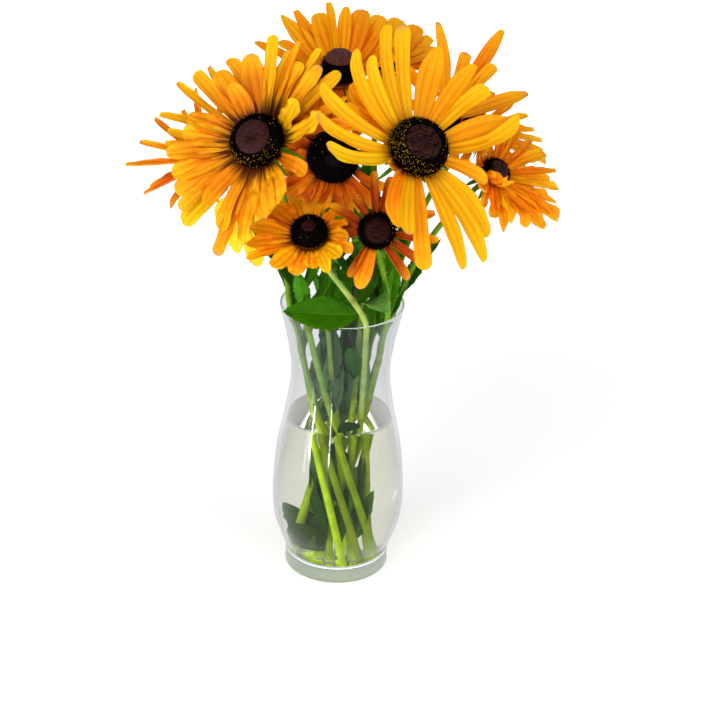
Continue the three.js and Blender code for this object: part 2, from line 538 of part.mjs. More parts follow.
function bloomGroup(name, bloom) {
  const group = new THREE.Group();
  const forward = facing(bloom.faces);
  const a = THREE.MathUtils.degToRad(bloom.faces[0]);
  const right = new THREE.Vector3(Math.cos(a), Math.sin(a), 0);
  const basis = new THREE.Matrix4().makeBasis(right, forward.clone().cross(right), forward);
  group.quaternion.setFromRotationMatrix(basis);
  group.position.copy(receptacle(bloom));
  group.add(node(`${name}_cone`, coneSolid(bloom.cone), coneBrown));
  group.add(node(`${name}_rays`, raysSolid(bloom), rayOrange));
  group.add(node(`${name}_bracts`, bractsSolid(bloom), bractGreen));
  return group;
}

// ---- Assembly ----

const bouquet = new THREE.Group();
bouquet.add(node('vase', vaseSolid(), glass));
const soaked = Object.values(BLOOMS).map((bloom) => toSolid(stemSolid(bloom, STEM_RADIUS + SOAK_GAP)));
for (const name of SOAKED_LEAVES) soaked.push(toSolid(leafSolid(LEAVES[name], SOAK_GAP)));
bouquet.add(node('water', waterSolid(soaked), water));
for (const [name, bloom] of Object.entries(BLOOMS)) {
  bouquet.add(bloomGroup(name, bloom));
  bouquet.add(node(`${name}_stem`, stemSolid(bloom, STEM_RADIUS), stemGreen));
}

for (const [name, leaf] of Object.entries(LEAVES)) {
  bouquet.add(node(name, leafSolid(leaf), leafGreen));
}

export default bouquet;
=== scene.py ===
"""A bouquet of cut black-eyed Susans standing in a clear glass vase with water.

Lists and formulas are in millimetres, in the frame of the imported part: +Z up, the origin in the
middle of the vase's underside, the front towards -Y. A mesh is scaled to metres when it is made.
"""
import math

import bpy
import numpy as np
from mathutils import Matrix, Vector


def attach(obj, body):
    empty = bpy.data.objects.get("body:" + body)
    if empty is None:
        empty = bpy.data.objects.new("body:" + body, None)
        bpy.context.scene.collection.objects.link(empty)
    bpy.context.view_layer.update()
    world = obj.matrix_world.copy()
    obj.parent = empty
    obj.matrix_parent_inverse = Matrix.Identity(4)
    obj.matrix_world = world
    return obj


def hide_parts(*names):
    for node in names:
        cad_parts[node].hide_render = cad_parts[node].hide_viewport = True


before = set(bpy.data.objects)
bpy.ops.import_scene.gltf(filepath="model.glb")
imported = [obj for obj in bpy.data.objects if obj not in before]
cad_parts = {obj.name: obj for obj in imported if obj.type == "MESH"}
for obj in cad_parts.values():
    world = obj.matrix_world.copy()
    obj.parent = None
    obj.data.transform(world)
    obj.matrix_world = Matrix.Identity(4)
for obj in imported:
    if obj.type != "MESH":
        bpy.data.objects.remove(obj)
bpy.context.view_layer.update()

MM = 0.001
TURN = 2 * math.pi
GOLDEN_ANGLE = math.pi * (3 - math.sqrt(5))
UP = np.array([0.0, 0.0, 1.0])
POLE = 0.01                       # radius at which a turned solid closes about its axis

# ---- The vase and the bunch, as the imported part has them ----

VASE_HEIGHT = 180
VASE_WALL = 2.3
VASE_FLOOR = 8.6                  # height of the floor inside, over the thick foot
VASE_SIDES = 128
FOOT_RADIUS = 30.6
FOOT_ROUND = 2.0                  # rounded edge under the foot
FLOOR_DISH = [(0.5, 0.3), (0.0, 0.6)]  # the floor sinks: share of the foot's radius, depth
FLOOR_CORNER = 5.4                # round corner between the floor and the wall
WALL_START = 6                    # height above the floor where the wall begins
LIP_ROUND = 0.68                  # the wall thins out towards its fire-polished lip
LIP_FROM = 156                    # height where it starts to
OUTLINE_STEPS = 90                # rings of the glass from its foot to its lip
WATER_LEVEL = 105
WATER_GAP = 0.08                  # from the glass to the water's wall
WATER_LIFT = 0.1                  # from the dished floor to the water
MENISCUS = (0.7, 2.0)             # the water's climb at the glass: height, width
WALL_CLEARANCE = 0.8              # from the glass to the leaves that stand in it

STEM_RADIUS = 2
STEM_FOOT_Z = 9.5
STEM_TWIST = 118                  # turn of the bunch from the floor to the mouth, in degrees
STEM_GRID = (130, 14)             # rings of a stem, points round each one
STEM_RIBS = 7
HAIR_COUNT = 600                  # for each stem
HAIR_FROM = WATER_LEVEL + 8       # the soaked part of a stem is bare
HAIR_LENGTHS, HAIR_RADIUS = (0.8, 2.0), 0.09
MOUTH_Z = 176
STEM_GAP = 0.2                    # from the cup down to the stem's end

RECEPTACLE_HALF = 1.3             # half the thickness kept for the plate that the rays grow on
PLATE_HALF, PLATE_EDGE = 1.1, 0.9  # half its own thickness, round of its edge
PART_GAP = 0.1                    # from the plate to the cone and to the cup
CUP_DEPTH, CUP_NECK = 3.4, 1.9    # the cup narrows to its neck at the stem
CUP_EDGE = 0.5                    # straight edge at its top
CONE_SEAT = 0.45                  # height of a cone's centre above its plate, as a share of its own
ROOT_SHARE = 0.8                  # radius of the rays' roots as a share of the cone's radius

# outline of the glass: outer radius at each height
VASE_OUTLINE = [
    (32.4, 3), (32.8, 13), (36, 22.5), (40, 36), (40.8, 56),
    (38.4, 84), (33.5, 109), (30.3, 134), (32.6, 155), (37.7, 178.9),
]

# the two rings of the bunch: distance of a stem from the axis at its foot and at the mouth
RINGS = {"outer": (20, 31.5), "inner": (8, 15.5)}


# ---- Colours ----

def paint(red, green, blue):
    """A colour given in 0 to 255 as the eye sees it, turned into the linear light of a shader."""
    share = np.array([red, green, blue]) / 255
    return np.where(share <= 0.04045, share / 12.92, ((share + 0.055) / 1.055) ** 2.4)


# colours of the ray petals by letter, from lemon through gold and orange to rust
RAY_TONES = {
    "l": paint(238, 200, 8),
    "y": paint(252, 192, 4),
    "g": paint(252, 170, 2),
    "o": paint(250, 148, 0),
    "d": paint(238, 116, 0),
    "r": paint(188, 84, 14),
}
RAY_TIP = paint(253, 200, 20)
RAY_BLUSH = paint(70, 10, 2)
RAY_WITHERED = paint(206, 132, 92)
CAP_PLUM = paint(58, 27, 26)
CAP_BROWN = paint(92, 52, 48)
CAP_MAROON = paint(48, 14, 14)
CAP_BLACK = paint(10, 4, 4)
FLORET_BLACK = paint(9, 4, 3)
POLLEN_YELLOW = paint(236, 186, 26)
GREEN_BRACT = paint(72, 120, 26)
GREEN_STEM = paint(104, 148, 26)
GREEN_PALE = paint(158, 182, 84)
# grey-green of a painted haze of the glass's reflection, for stems inside the neck
GREEN_GLASS_HAZE = paint(122, 146, 92)
GREEN_SOAKED = paint(150, 180, 14)
GREEN_HAIR = paint(188, 206, 150)
GREEN_LEAF = paint(64, 122, 16)
BROWN_JOINT = paint(104, 92, 20)
STEM_COLOURS = {"low_left": GREEN_PALE}
LEAF_COLOURS = {
    "rim_leaf": paint(54, 106, 1), "curled_leaf": paint(116, 168, 78), "torn_leaf": paint(60, 112, 30),
    "neck_leaf": paint(44, 84, 30), "waterline_leaf": paint(34, 78, 22), "sunken_leaf": paint(84, 104, 34),
    # the neck leaves' grey-green is a painted haze of the glass's reflection
    "upper_leaves": paint(66, 124, 12), "neck_leaves": paint(84, 112, 76), "water_leaves": paint(46, 84, 8),
    "floor_leaves": paint(70, 104, 26),
}

# ---- Blooms and leaves ----

# ray petals by kind: width laid flat, roll of the edges (1 closes a tube), how much of the roll
# opens towards the tip, lip that curls in at the edges in degrees, depth of the ribs, width at the
# root and at the tip as shares of the whole width, depth of the tip's notches as a share of length
KIND_FIELDS = ("width", "roll", "opens", "lip", "rib", "root", "tip", "notch")
RAY_KINDS = {
    kind: dict(zip(KIND_FIELDS, values)) for kind, values in {
        "wide": (14.0, 0.10, 0.6, 20, 0.42, 0.34, 0.58, 0.02),
        "broad": (11.5, 0.14, 0.6, 30, 0.36, 0.36, 0.5, 0.018),
        "lance": (13.0, 0.12, 0.3, 30, 0.30, 0.42, 0.22, 0.0),
        "blade": (9.5, 0.22, 0.3, 45, 0.26, 0.5, 0.34, 0.0),
        "strap": (8.8, 0.26, 0.5, 55, 0.26, 0.5, 0.84, 0.008),
        "spoon": (9.6, 0.34, 0.7, 50, 0.22, 0.46, 0.98, 0.004),
        "quill": (8.8, 0.6, 0.25, 30, 0.14, 0.6, 0.42, 0.004),
    }.items()
}

# Each bloom: the centre of its cone, where it faces (azimuth from -Y towards +X, elevation), the
# cone's radius and height, its stem (ring, degrees round the mouth, straight lead past the mouth,
# straight reach behind the bloom), how far its bracts bend back, the cone's cap (share of the
# radius, colour, depth of its dimple), how far the dark blush climbs its rays, how restless the
# rays are, one tone letter for each ray, and the rays as kind, clock angle seen from the front,
# length, lift above the plate, curl and sideways sway, without the 0s at the end. Some also give
# the heights of the cap's wrinkles and crease, the clock angles between which the rays are wild,
# and three factors: for the rays' width ("plump"), for painted shade that darkens the colour of
# all the bloom's rays ("deep"), and for their notches ("fringe").
BLOOMS = {
    "front_right": {
        "at": (41, -54, 301), "faces": (25, 42), "cone": (16.8, 15), "stem": ("inner", -40, 55, 45),
        "bracts": -30, "cap": (0.66, CAP_PLUM, 0.5), "blush": 0.0, "unrest": 0.5,
        "wrinkle": (0.3, 0.0), "plump": 1.2,
        "tones": "yyyyggygygyyygyoolyygo",
        "rays": [
            ("spoon", 318, 49, 12, 10, 22), ("strap", 331, 44, 16, 5, 14), ("strap", 347, 58, 15, 0, 12),
            ("strap", 0, 58, 15, 0, 6), ("lance", 23, 50, 12, 0, 4), ("blade", 43, 51, 10, 0, 6),
            ("strap", 57, 46, 10, 0, 4), ("lance", 82, 48, 10, -4, 2), ("spoon", 98, 50, 8, 8, -18),
            ("strap", 120, 32, 4, -10), ("broad", 145, 49, 2, -6, 8), ("blade", 158, 60, 6, 0, 8),
            ("blade", 171, 60, 4, 0, 5), ("strap", 193, 56, 0, -4, -2), ("strap", 208, 40, 6, 4, -6),
            ("spoon", 226, 36, 10, 0, -20), ("strap", 243, 12, 20, 30), ("spoon", 262, 42, 8, 12, 18),
            ("spoon", 278, 49, 10, 12, 16), ("spoon", 296, 53, 12, 10, 12), ("broad", 305, 34, 6, -6, 8),
            ("broad", 322, 38, 6, -4, 6),
        ],
    },
    "front_left": {
        "at": (-50, -41, 297), "faces": (-25, 38), "cone": (15.2, 14), "stem": ("outer", -130, 40, 40),
        "bracts": -34, "cap": (0.70, CAP_PLUM, 1.8), "blush": 0.30, "unrest": 0.8,
        "wrinkle": (0.06, 0.5), "plump": 1.05, "wild": (45, 178), "deep": 0.84,
        "tones": "oogoygyyoygyogoglogogggoyyggyyygygo",
        "rays": [
            ("wide", 340, 40, 14, 2), ("broad", 322, 27, 24, 10), ("strap", 331, 42, 8, 0, -8),
            ("wide", 314, 39, 10), ("quill", 309, 46, 6, 0, 2), ("strap", 302, 48, 8),
            ("quill", 290, 53, 6, 0, 2), ("quill", 276, 54, 4, 0, -2), ("broad", 278, 36, 10),
            ("quill", 262, 48, -2, 0, 6), ("wide", 266, 36, 8, -2), ("quill", 256, 47, -2, 4, 4),
            ("broad", 252, 44, 6), ("wide", 240, 43, 4), ("wide", 228, 44, 2), ("strap", 220, 47, 0, 0, -2),
            ("wide", 214, 52, -8), ("broad", 206, 35, 10, 4, -4), ("strap", 190, 42, 4, -6, -4),
            ("strap", 184, 56, -2), ("broad", 172, 45, 0, 0, 2), ("wide", 156, 32, 0, -10, 6),
            ("broad", 138, 26, 6, -20, 10), ("strap", 110, 28, 20, -10), ("broad", 72, 36, 32, 0, -6),
            ("broad", 46, 24, 38, -8, -6), ("strap", 34, 46, 26, -4), ("strap", 17, 40, 20, 0, 2),
            ("strap", 355, 50, 15), ("strap", 5, 44, 12, 0, 2), ("quill", 25, 52, 18),
            ("quill", 12, 50, 20, 0, 2), ("strap", 42, 50, 14), ("quill", 55, 46, 8),
            ("strap", 65, 50, 2, 0, 4),
        ],
    },
    "top": {
        "at": (-5, 10, 324), "faces": (0, 80), "cone": (10.5, 19), "stem": ("inner", 130, 50, 50),
        "bracts": -50, "cap": (0.88, CAP_BROWN, 0.0), "blush": 0.12, "unrest": 0.6,
        "wrinkle": (0.04, 0.0),
        "tones": "googygoogoodddgoddogoodo",
        "rays": [
            ("lance", 321, 52, 20), ("broad", 299, 50, 8, 4), ("blade", 331, 53, 20), ("wide", 344, 46, 24),
            ("quill", 351, 50, 28), ("blade", 3, 48, 27), ("wide", 14, 48, 26), ("lance", 28, 48, 20),
            ("broad", 311, 40, 12), ("broad", 285, 40, 0, -6), ("strap", 265, 34, -12, -10),
            ("broad", 245, 26, -30, -10), ("strap", 210, 20, -30, -20), ("strap", 180, 18, -30, -20),
            ("strap", 150, 20, -30, -20), ("broad", 60, 30, 14), ("strap", 95, 24, -10, -20),
            ("strap", 120, 20, -30, -20), ("broad", 255, 32, 0, -14), ("strap", 235, 28, -14, -14),
            ("broad", 44, 40, 16), ("broad", 214, 34, -45, -8), ("broad", 197, 27, -46, -6),
            ("broad", 229, 35, -34, -12),
        ],
    },
    "centre": {
        "at": (-7, -20, 280), "faces": (0, 12), "cone": (14.6, 15), "stem": ("inner", -125, 45, 45),
        "bracts": -60, "cap": (0.34, CAP_BLACK, 0.0), "blush": 0.22, "unrest": 1.8, "plump": 0.85,
        "tones": "odddodddddododddoogododo",
        "rays": [
            ("broad", 226, 41, -8, -8), ("strap", 238, 34, -4, -10), ("broad", 214, 34, -22, -10),
            ("strap", 202, 32, -20, -20), ("broad", 192, 30, -24, -10), ("quill", 184, 20, 0, 40, 20),
            ("strap", 172, 32, -20, -14), ("broad", 158, 30, -18, -10), ("strap", 142, 30, -14, -16),
            ("strap", 125, 26, -10, -16), ("strap", 250, 26, -10), ("broad", 266, 15, 0, 20),
            ("strap", 285, 22, -20, -20), ("strap", 315, 18, -50, -10), ("strap", 0, 16, -50, -10),
            ("strap", 45, 16, -50, -10), ("strap", 85, 18, -40, -10), ("strap", 302, 32, -14, -10, 8),
            ("strap", 322, 30, -10, -14, -6), ("strap", 340, 26, -12, -16), ("broad", 292, 36, -4),
            ("strap", 278, 30, -6), ("broad", 311, 34, -18, -6), ("strap", 332, 30, -16, -6),
        ],
    },
    "low_left": {
        "at": (-19, -56, 249), "faces": (-10, 58), "cone": (10.4, 11), "stem": ("outer", -62, 15, 20),
        "bracts": -40, "cap": (0.42, CAP_MAROON, 0.0), "blush": 0.26, "unrest": 0.9, "plump": 0.88,
        "tones": "googoggogyyogoog",
        "rays": [
            ("broad", 329, 19, 12), ("lance", 306, 23, 12), ("strap", 290, 25, 6), ("lance", 272, 27, 4),
            ("lance", 252, 28, 2), ("blade", 240, 30, 0), ("wide", 216, 21, -2), ("wide", 190, 18, -4),
            ("broad", 164, 14, 0), ("blade", 146, 19, 4), ("broad", 122, 16, 6), ("strap", 102, 18, 0, -10),
            ("broad", 80, 14, 0, -10), ("strap", 55, 15, 0, -10), ("strap", 30, 15, 0), ("strap", 0, 15, 0),
        ],
    },
    "low_right": {
        "at": (19, -50, 248), "faces": (5, 25), "cone": (10.4, 12), "stem": ("outer", -31, 20, 30),
        "bracts": -45, "cap": (0.72, CAP_MAROON * 0.7, 0.0), "blush": 0.0, "unrest": 0.5, "plump": 1.15,
        "tones": "rrrrrrrrrorrr",
        "rays": [
            ("quill", 358, 26, 6), ("quill", 17, 24, 2, -6), ("quill", 300, 22, 6), ("quill", 284, 16, -10),
            ("quill", 266, 17, -8), ("quill", 73, 27, 4), ("quill", 99, 28, 2), ("quill", 124, 26, 0),
            ("quill", 146, 25, -2), ("blade", 197, 26, -4), ("quill", 211, 22, -2),
            ("quill", 330, 16, -20, -20), ("quill", 46, 16, -20, -20),
        ],
    },
    "right": {
        "at": (87, -14, 272), "faces": (50, 45), "cone": (8.5, 9), "stem": ("outer", -1, 40, 40),
        "bracts": -40, "cap": (0.70, CAP_PLUM, 0.6), "blush": 0.0, "unrest": 1.6, "fringe": 2.0,
        "tones": "gogygogogygogoogogyogogoog",
        "rays": [
            ("strap", 91, 37, 10), ("quill", 106, 41, 6), ("quill", 114, 37, 2), ("quill", 123, 40, 4),
            ("quill", 132, 40, 2), ("strap", 141, 43, 4), ("quill", 148, 42, 0), ("broad", 157, 38, 0),
            ("strap", 168, 30, -4), ("broad", 186, 24, -8), ("quill", 202, 28, -10), ("strap", 216, 22, -6),
            ("quill", 238, 20, 0), ("strap", 256, 22, 10, 30), ("strap", 278, 24, 14, 30),
            ("quill", 296, 26, 10), ("strap", 320, 20, 22, 70), ("strap", 345, 18, 22, 70),
            ("quill", 20, 28, 20), ("quill", 45, 34, 14), ("quill", 62, 36, 10), ("quill", 78, 36, 8),
            ("strap", 196, 13, 44, 50), ("quill", 218, 15, 52, 55), ("strap", 240, 14, 50, 60),
            ("quill", 264, 13, 44, 60),
        ],
    },
    "behind_right": {
        "at": (57, 10, 295), "faces": (20, 42), "cone": (9, 10), "stem": ("inner", 40, 55, 45),
        "bracts": -60, "cap": (0.6, CAP_MAROON, 0.0), "blush": 0.1, "unrest": 0.5,
        "tones": "goggoogoooo",
        "rays": [
            ("blade", 12, 52, 10, 0, -6), ("blade", 43, 64, 5), ("strap", 50, 41, 8, 0, 2),
            ("blade", 78, 51, 0), ("strap", 30, 40, 4), ("strap", 340, 34, -10), ("strap", 310, 28, -20),
            ("strap", 280, 26, -30), ("strap", 160, 24, -50), ("strap", 200, 24, -50),
            ("strap", 240, 24, -50),
        ],
    },
    "behind_top": {
        "at": (21, 42, 317), "faces": (30, 70), "cone": (6.5, 8), "stem": ("outer", 62, 45, 50),
        "bracts": -65, "cap": (0.6, CAP_MAROON, 0.0), "blush": 0.1, "unrest": 0.8,
        "tones": "ggoggoogoooooo",
        "rays": [
            ("wide", 22, 40, 10), ("wide", 38, 41, 8), ("wide", 54, 43, 4), ("broad", 66, 43, 2),
            ("broad", 80, 40, 0), ("broad", 94, 36, -6), ("strap", 0, 36, 8), ("strap", 340, 34, 0),
            ("strap", 315, 26, -20, -10), ("strap", 120, 30, -20, -10), ("strap", 285, 22, -50),
            ("strap", 150, 22, -50), ("strap", 240, 20, -55), ("strap", 195, 20, -55),
        ],
    },
    "far_left": {
        "at": (-84, 14, 265), "faces": (-50, 45), "cone": (9, 10), "stem": ("outer", 165, 35, 35),
        "bracts": -60, "cap": (0.6, CAP_MAROON, 0.0), "blush": 0.0, "unrest": 0.7,
        "plump": 0.85, "deep": 0.9,
        "tones": "odgododrdrdrdr",
        "rays": [
            ("quill", 314, 44, 14), ("quill", 277, 54, 4), ("quill", 261, 52, 4), ("quill", 245, 55, 4),
            ("quill", 217, 40, 2, 0, 4), ("quill", 296, 40, 6), ("quill", 335, 34, 4),
            ("quill", 0, 30, -10), ("quill", 230, 40, -6), ("quill", 195, 30, -10), ("quill", 170, 24, -30),
            ("quill", 140, 20, -40), ("quill", 40, 22, -40), ("quill", 90, 18, -50),
        ],
    },
    "low_behind": {
        "at": (-53, 2, 246), "faces": (-40, 8), "cone": (9, 10), "stem": ("outer", -165, 30, 35),
        "bracts": -65, "cap": (0.6, CAP_MAROON, 0.0), "blush": 0.0, "unrest": 0.8, "plump": 1.25,
        "tones": "llllllllllllll",
        "rays": [
            ("wide", 214, 50, -12, -6), ("wide", 200, 40, -20), ("broad", 238, 42, -8, -6),
            ("broad", 182, 26, -24), ("broad", 160, 20, -40), ("strap", 260, 14, -10, -10),
            ("strap", 280, 14, -20, -10), ("strap", 300, 20, -50), ("strap", 20, 18, -55),
            ("strap", 60, 18, -55), ("strap", 100, 20, -50), ("strap", 135, 16, -50),
            ("strap", 340, 18, -55), ("wide", 192, 46, -16, -6),
        ],
    },
    "far_right": {
        "at": (78, 24, 286), "faces": (60, 55), "cone": (9, 10), "stem": ("outer", 29, 45, 45),
        "bracts": -60, "cap": (0.6, CAP_MAROON, 0.0), "blush": 0.0, "unrest": 0.8,
        "tones": "ygygyggogogygoogo",
        "rays": [
            ("quill", 101, 44, 2), ("quill", 112, 44, 0), ("quill", 122, 45, 0), ("quill", 131, 44, -2),
            ("quill", 140, 46, -4), ("quill", 88, 40, 4), ("quill", 70, 36, 4), ("quill", 50, 34, 0),
            ("quill", 25, 30, 0), ("quill", 0, 26, -4), ("quill", 335, 12, -20), ("quill", 155, 34, -10),
            ("quill", 175, 26, -30), ("quill", 205, 20, -50), ("quill", 240, 18, -50),
            ("quill", 275, 9, -55), ("quill", 305, 8, -45),
        ],
    },
}
FRONT_BLOOMS = ("front_right", "front_left", "top", "low_left", "low_right", "right")

# rows and columns of a ray's grid and the distance between florets, in front and elsewhere
FINE, PLAIN = {"grid": (40, 15), "spacing": 0.98}, {"grid": (26, 11), "spacing": 1.3}

# clock angle where the pollen lies thickest, and the share of the spikes that carry it there
POLLEN = {"front_right": (255, 0.5), "front_left": (160, 0.3), "low_right": (90, 0.1)}
POLLEN_ELSEWHERE = (0, 0.05)

RAY_HALVES = (0.22, 0.06)         # half a ray's thickness at its root, and how much less at its tip
WILDER = 2.4                      # how much more restless the wild rays are
CAP_GRID = (22, 60)               # rings of a cap, points round each one
CAP_WAVES = (1.1, 1.5, 2.1, 2.8)  # pitches of the waves that wrinkle it
CORE_SIDES, CORE_INSET = 32, 0.35  # the core lies this deep under the florets
WIDEST_AT = 0.3                   # height of a cone's widest place, as a share of its own

# the two whorls of bracts, outer and inner: shift round the cup in steps, how far out (share of the
# root, least) and down they start, length, how much and how fast it varies, widths, further bend
# back, shade
BRACT_WHORLS = (
    (0.5, (1.0, 0.0), 0.0, (15, 3, 7.3), (3.4, 4.6), 0, 1.0),
    (0.0, (0.68, 4.4), 2.1, (10.5, 2, 5.1), (3.8, 5.0), 8, 0.9),
)
BRACT_PITCH = 1.7                 # radius of the cup for each bract of a whorl
BRACT_EXTRA = 3                   # bracts more than the pitch gives
BRACT_GRID = (9, 7)

# Leaves: the stem that each grows on, how far up it (0 foot, 1 bloom) and out from its centre
# line, the heading of the midrib (azimuth from +X, elevation), how the blade is rolled about it,
# length and width, droop, number of teeth along an edge, and how much it buckles.
LEAVES = {
    "rim_leaf": ("low_left", (0.74, 3), (192, 6), -52, (45, 21), 8, 11, 0.8),
    "curled_leaf": ("front_right", (0.6, 2.6), (-70, 40), 20, (31, 19), -60, 5, 1.6),
    "torn_leaf": ("low_behind", (0.78, 1.9), (200, 50), 0, (20, 9), -30, 4, 1.2),
    "mouth_leaf": ("right", (0.66, 3.3), (30, 60), 0, (40, 15), -20, 6, 0.7),
    "left_leaf": ("front_left", (0.66, 2.6), (150, 60), 0, (44, 16), -30, 7, 0.7),
    "back_leaf": ("behind_top", (0.6, 3.25), (100, 60), 0, (50, 20), -50, 8, 0.7),
    "centre_leaf": ("centre", (0.72, 2.2), (250, 60), 0, (36, 16), -40, 6, 0.8),
    "neck_leaf": ("front_right", (0.42, 2.4), (-100, 68), 0, (30, 13), -10, 5, 0.5),
    "waterline_leaf": ("low_left", (0.37, 2.4), (232, 20), 0, (20, 12), -20, 4, 0.1),
    "sunken_leaf": ("behind_top", (0.04, 2.8), (-75, 8), 40, (21, 14), 0, 4, 0.1),
}
LEAF_GRID, NARROW_GRID = (56, 25), (22, 9)
SIDE_VEINS = (7.0, 2.4)           # number along the midrib, how far they lean to the tip

# Narrow leaves further up and down the stems, by the piece that they make: the stem, how far up it,
# the heading of the midrib, the roll, length, width and droop, without a 0 at the end.
NARROW_LEAVES = {
    "upper_leaves": [
        ("top", 0.62, 80, 78, 0, 62, 12, -20), ("top", 0.7, 110, 70, 20, 50, 11, -30),
        ("behind_right", 0.62, 95, 75, -15, 64, 12, -25), ("behind_right", 0.7, 60, 60, 10, 50, 11, -30),
        ("behind_top", 0.66, 100, 72, 0, 60, 13, -20), ("far_left", 0.62, 120, 62, 25, 46, 11, -30),
        ("far_right", 0.64, 70, 66, -20, 58, 12, -30), ("behind_top", 0.82, 20, 40, 30, 40, 11, -20),
        ("centre", 0.62, -80, 82, 0, 46, 11, -10), ("front_right", 0.6, 95, 80, 10, 66, 12, -15),
        ("front_right", 0.68, 250, 78, -10, 48, 9, -20), ("centre", 0.68, 60, 74, -20, 42, 10, -25),
        ("top", 0.66, 260, 74, 15, 56, 11, -15), ("front_left", 0.62, 250, 72, 20, 40, 10, -30),
        ("low_behind", 0.66, 100, 74, 0, 44, 10, -20), ("front_left", 0.7, 80, 70, -10, 32, 10, -20),
        ("low_right", 0.64, 280, 80, -10, 42, 9, -10), ("low_right", 0.7, 70, 72, 15, 44, 10, -25),
        ("right", 0.6, 100, 62, -30, 52, 11, -30), ("far_right", 0.6, 250, 70, 10, 44, 9, -20),
        ("front_right", 0.64, 0, 76, -30, 54, 9, -20), ("right", 0.64, 160, 70, 20, 46, 9, -20),
        ("low_left", 0.62, 60, 78, 10, 40, 9, -10), ("behind_right", 0.66, 250, 74, 30, 56, 9, -15),
        ("top", 0.58, 10, 80, -25, 60, 9, -10), ("centre", 0.6, 170, 78, 25, 50, 9, -15),
        ("far_right", 0.7, 190, 60, 0, 44, 9, -25), ("front_left", 0.58, 10, 76, 20, 46, 9, -15),
        ("low_right", 0.6, 350, 78, 30, 46, 8, -15), ("front_right", 0.72, 130, 66, 0, 44, 10, -25),
        ("low_behind", 0.6, 30, 76, -20, 40, 8, -15), ("behind_top", 0.6, 260, 78, -20, 58, 10, -10),
        ("centre", 0.8, 190, 60, 0, 36, 12, -20), ("low_behind", 0.8, 20, 50, 0, 36, 12, -20),
        ("front_left", 0.78, 330, 40, 0, 36, 12, -30), ("low_left", 0.76, 60, 50, 20, 34, 11, -20),
        ("low_right", 0.8, 90, 60, 0, 36, 12, -20), ("low_right", 0.74, 170, 60, -20, 36, 11, -20),
        ("behind_right", 0.8, 250, 40, 0, 40, 12, -20), ("top", 0.8, 300, 40, 10, 40, 12, -20),
        ("top", 0.86, 200, 30, 0, 36, 12, -20), ("centre", 0.74, 300, 70, 20, 36, 11, -20),
        ("behind_right", 0.74, 200, 60, 10, 44, 12, -20), ("top", 0.72, 240, 60, -10, 44, 12, -20),
        ("far_right", 0.76, 180, 50, 0, 40, 11, -20), ("front_left", 0.66, 20, 66, 10, 40, 12, -20),
        ("centre", 0.56, 50, 66, 0, 50, 17, -5), ("top", 0.56, 320, 74, 0, 52, 16, -5),
        ("behind_right", 0.56, 200, 70, 0, 52, 16, -5), ("low_behind", 0.58, 340, 72, 0, 40, 14, -5),
        ("behind_top", 0.56, 280, 72, 0, 54, 16, -5), ("right", 0.56, 150, 70, 0, 46, 14, -5),
    ],
    "neck_leaves": [
        ("top", 0.34, 80, 80, 0, 46, 12), ("behind_right", 0.38, 95, 82, 0, 44, 12),
        ("centre", 0.36, 70, 84, 0, 40, 11), ("behind_top", 0.42, 250, 78, 0, 44, 12),
        ("front_left", 0.36, 60, 80, 10, 42, 10), ("right", 0.36, 180, 80, -10, 42, 10),
        ("front_right", 0.34, 260, 82, 15, 40, 9), ("far_left", 0.4, 300, 80, -15, 44, 10),
        ("top", 0.42, 250, 82, 20, 40, 10), ("low_right", 0.42, 120, 80, 0, 40, 9),
        ("far_right", 0.38, 230, 80, 0, 42, 10), ("centre", 0.44, 250, 84, -20, 36, 10),
        ("behind_top", 0.3, 200, 70, 20, 34, 15), ("behind_right", 0.3, 150, 70, -20, 34, 15),
        ("centre", 0.29, 100, 60, 0, 30, 15), ("top", 0.3, 330, 70, 0, 34, 14),
        ("far_left", 0.32, 30, 70, 0, 40, 14), ("right", 0.3, 130, 70, 0, 36, 13),
        ("low_behind", 0.44, 60, 78, 20, 40, 13), ("far_right", 0.46, 150, 80, 0, 44, 14),
        ("behind_top", 0.46, 320, 80, 0, 44, 14), ("front_right", 0.48, 120, 82, 0, 44, 13),
    ],
    "water_leaves": [
        ("top", 0.05, 200, 70, 0, 40, 16), ("behind_top", 0.08, 300, 72, 20, 40, 14),
        ("centre", 0.1, 120, 78, 0, 44, 14), ("right", 0.06, 100, 74, 0, 40, 14),
        ("far_left", 0.06, 60, 74, 0, 44, 14), ("behind_right", 0.1, 180, 80, 0, 46, 14),
        ("front_left", 0.12, 30, 80, 0, 36, 12), ("top", 0.16, 60, 82, 0, 30, 13),
        ("centre", 0.18, 200, 84, 0, 24, 13), ("far_right", 0.12, 160, 80, 0, 36, 13),
        ("behind_top", 0.14, 100, 84, 0, 32, 14), ("low_behind", 0.12, 0, 80, 0, 36, 12),
    ],
    "floor_leaves": [
        ("top", 0.03, 195, 35, 70, 27, 19), ("centre", 0.05, 340, 74, 70, 34, 12),
        ("behind_right", 0.04, 170, 50, 80, 24, 15),
    ],
}
NARROW_OUT, NARROW_TEETH, NARROW_BUCKLE = 2.0, 5, 1.0
BUNCH_RADIUS = {"neck_leaves": 24, "water_leaves": 13, "floor_leaves": 28}  # how far out they reach

# first numbers of the fixed seeds
BLOOM_SEED, LEAF_SEED, NARROW_SEED, INNER_BRACT_SEED = 1000, 2000, 3000, 4000


# ---- Shapes: points, faces and marks as whole arrays ----

class Shape:
    """Points, four-sided and three-sided faces, and one row of marks for each point. The marks
    are eight numbers: along, across, own chance number, back side, red, green, blue, blush."""

    def __init__(self, points, quads, tris, marks):
        self.points, self.quads, self.tris, self.marks = points, quads, tris, marks

    def moved(self, basis, origin):
        """The same shape from a bloom's own frame into the part's frame."""
        return Shape(self.points @ basis + origin, self.quads, self.tris, self.marks)


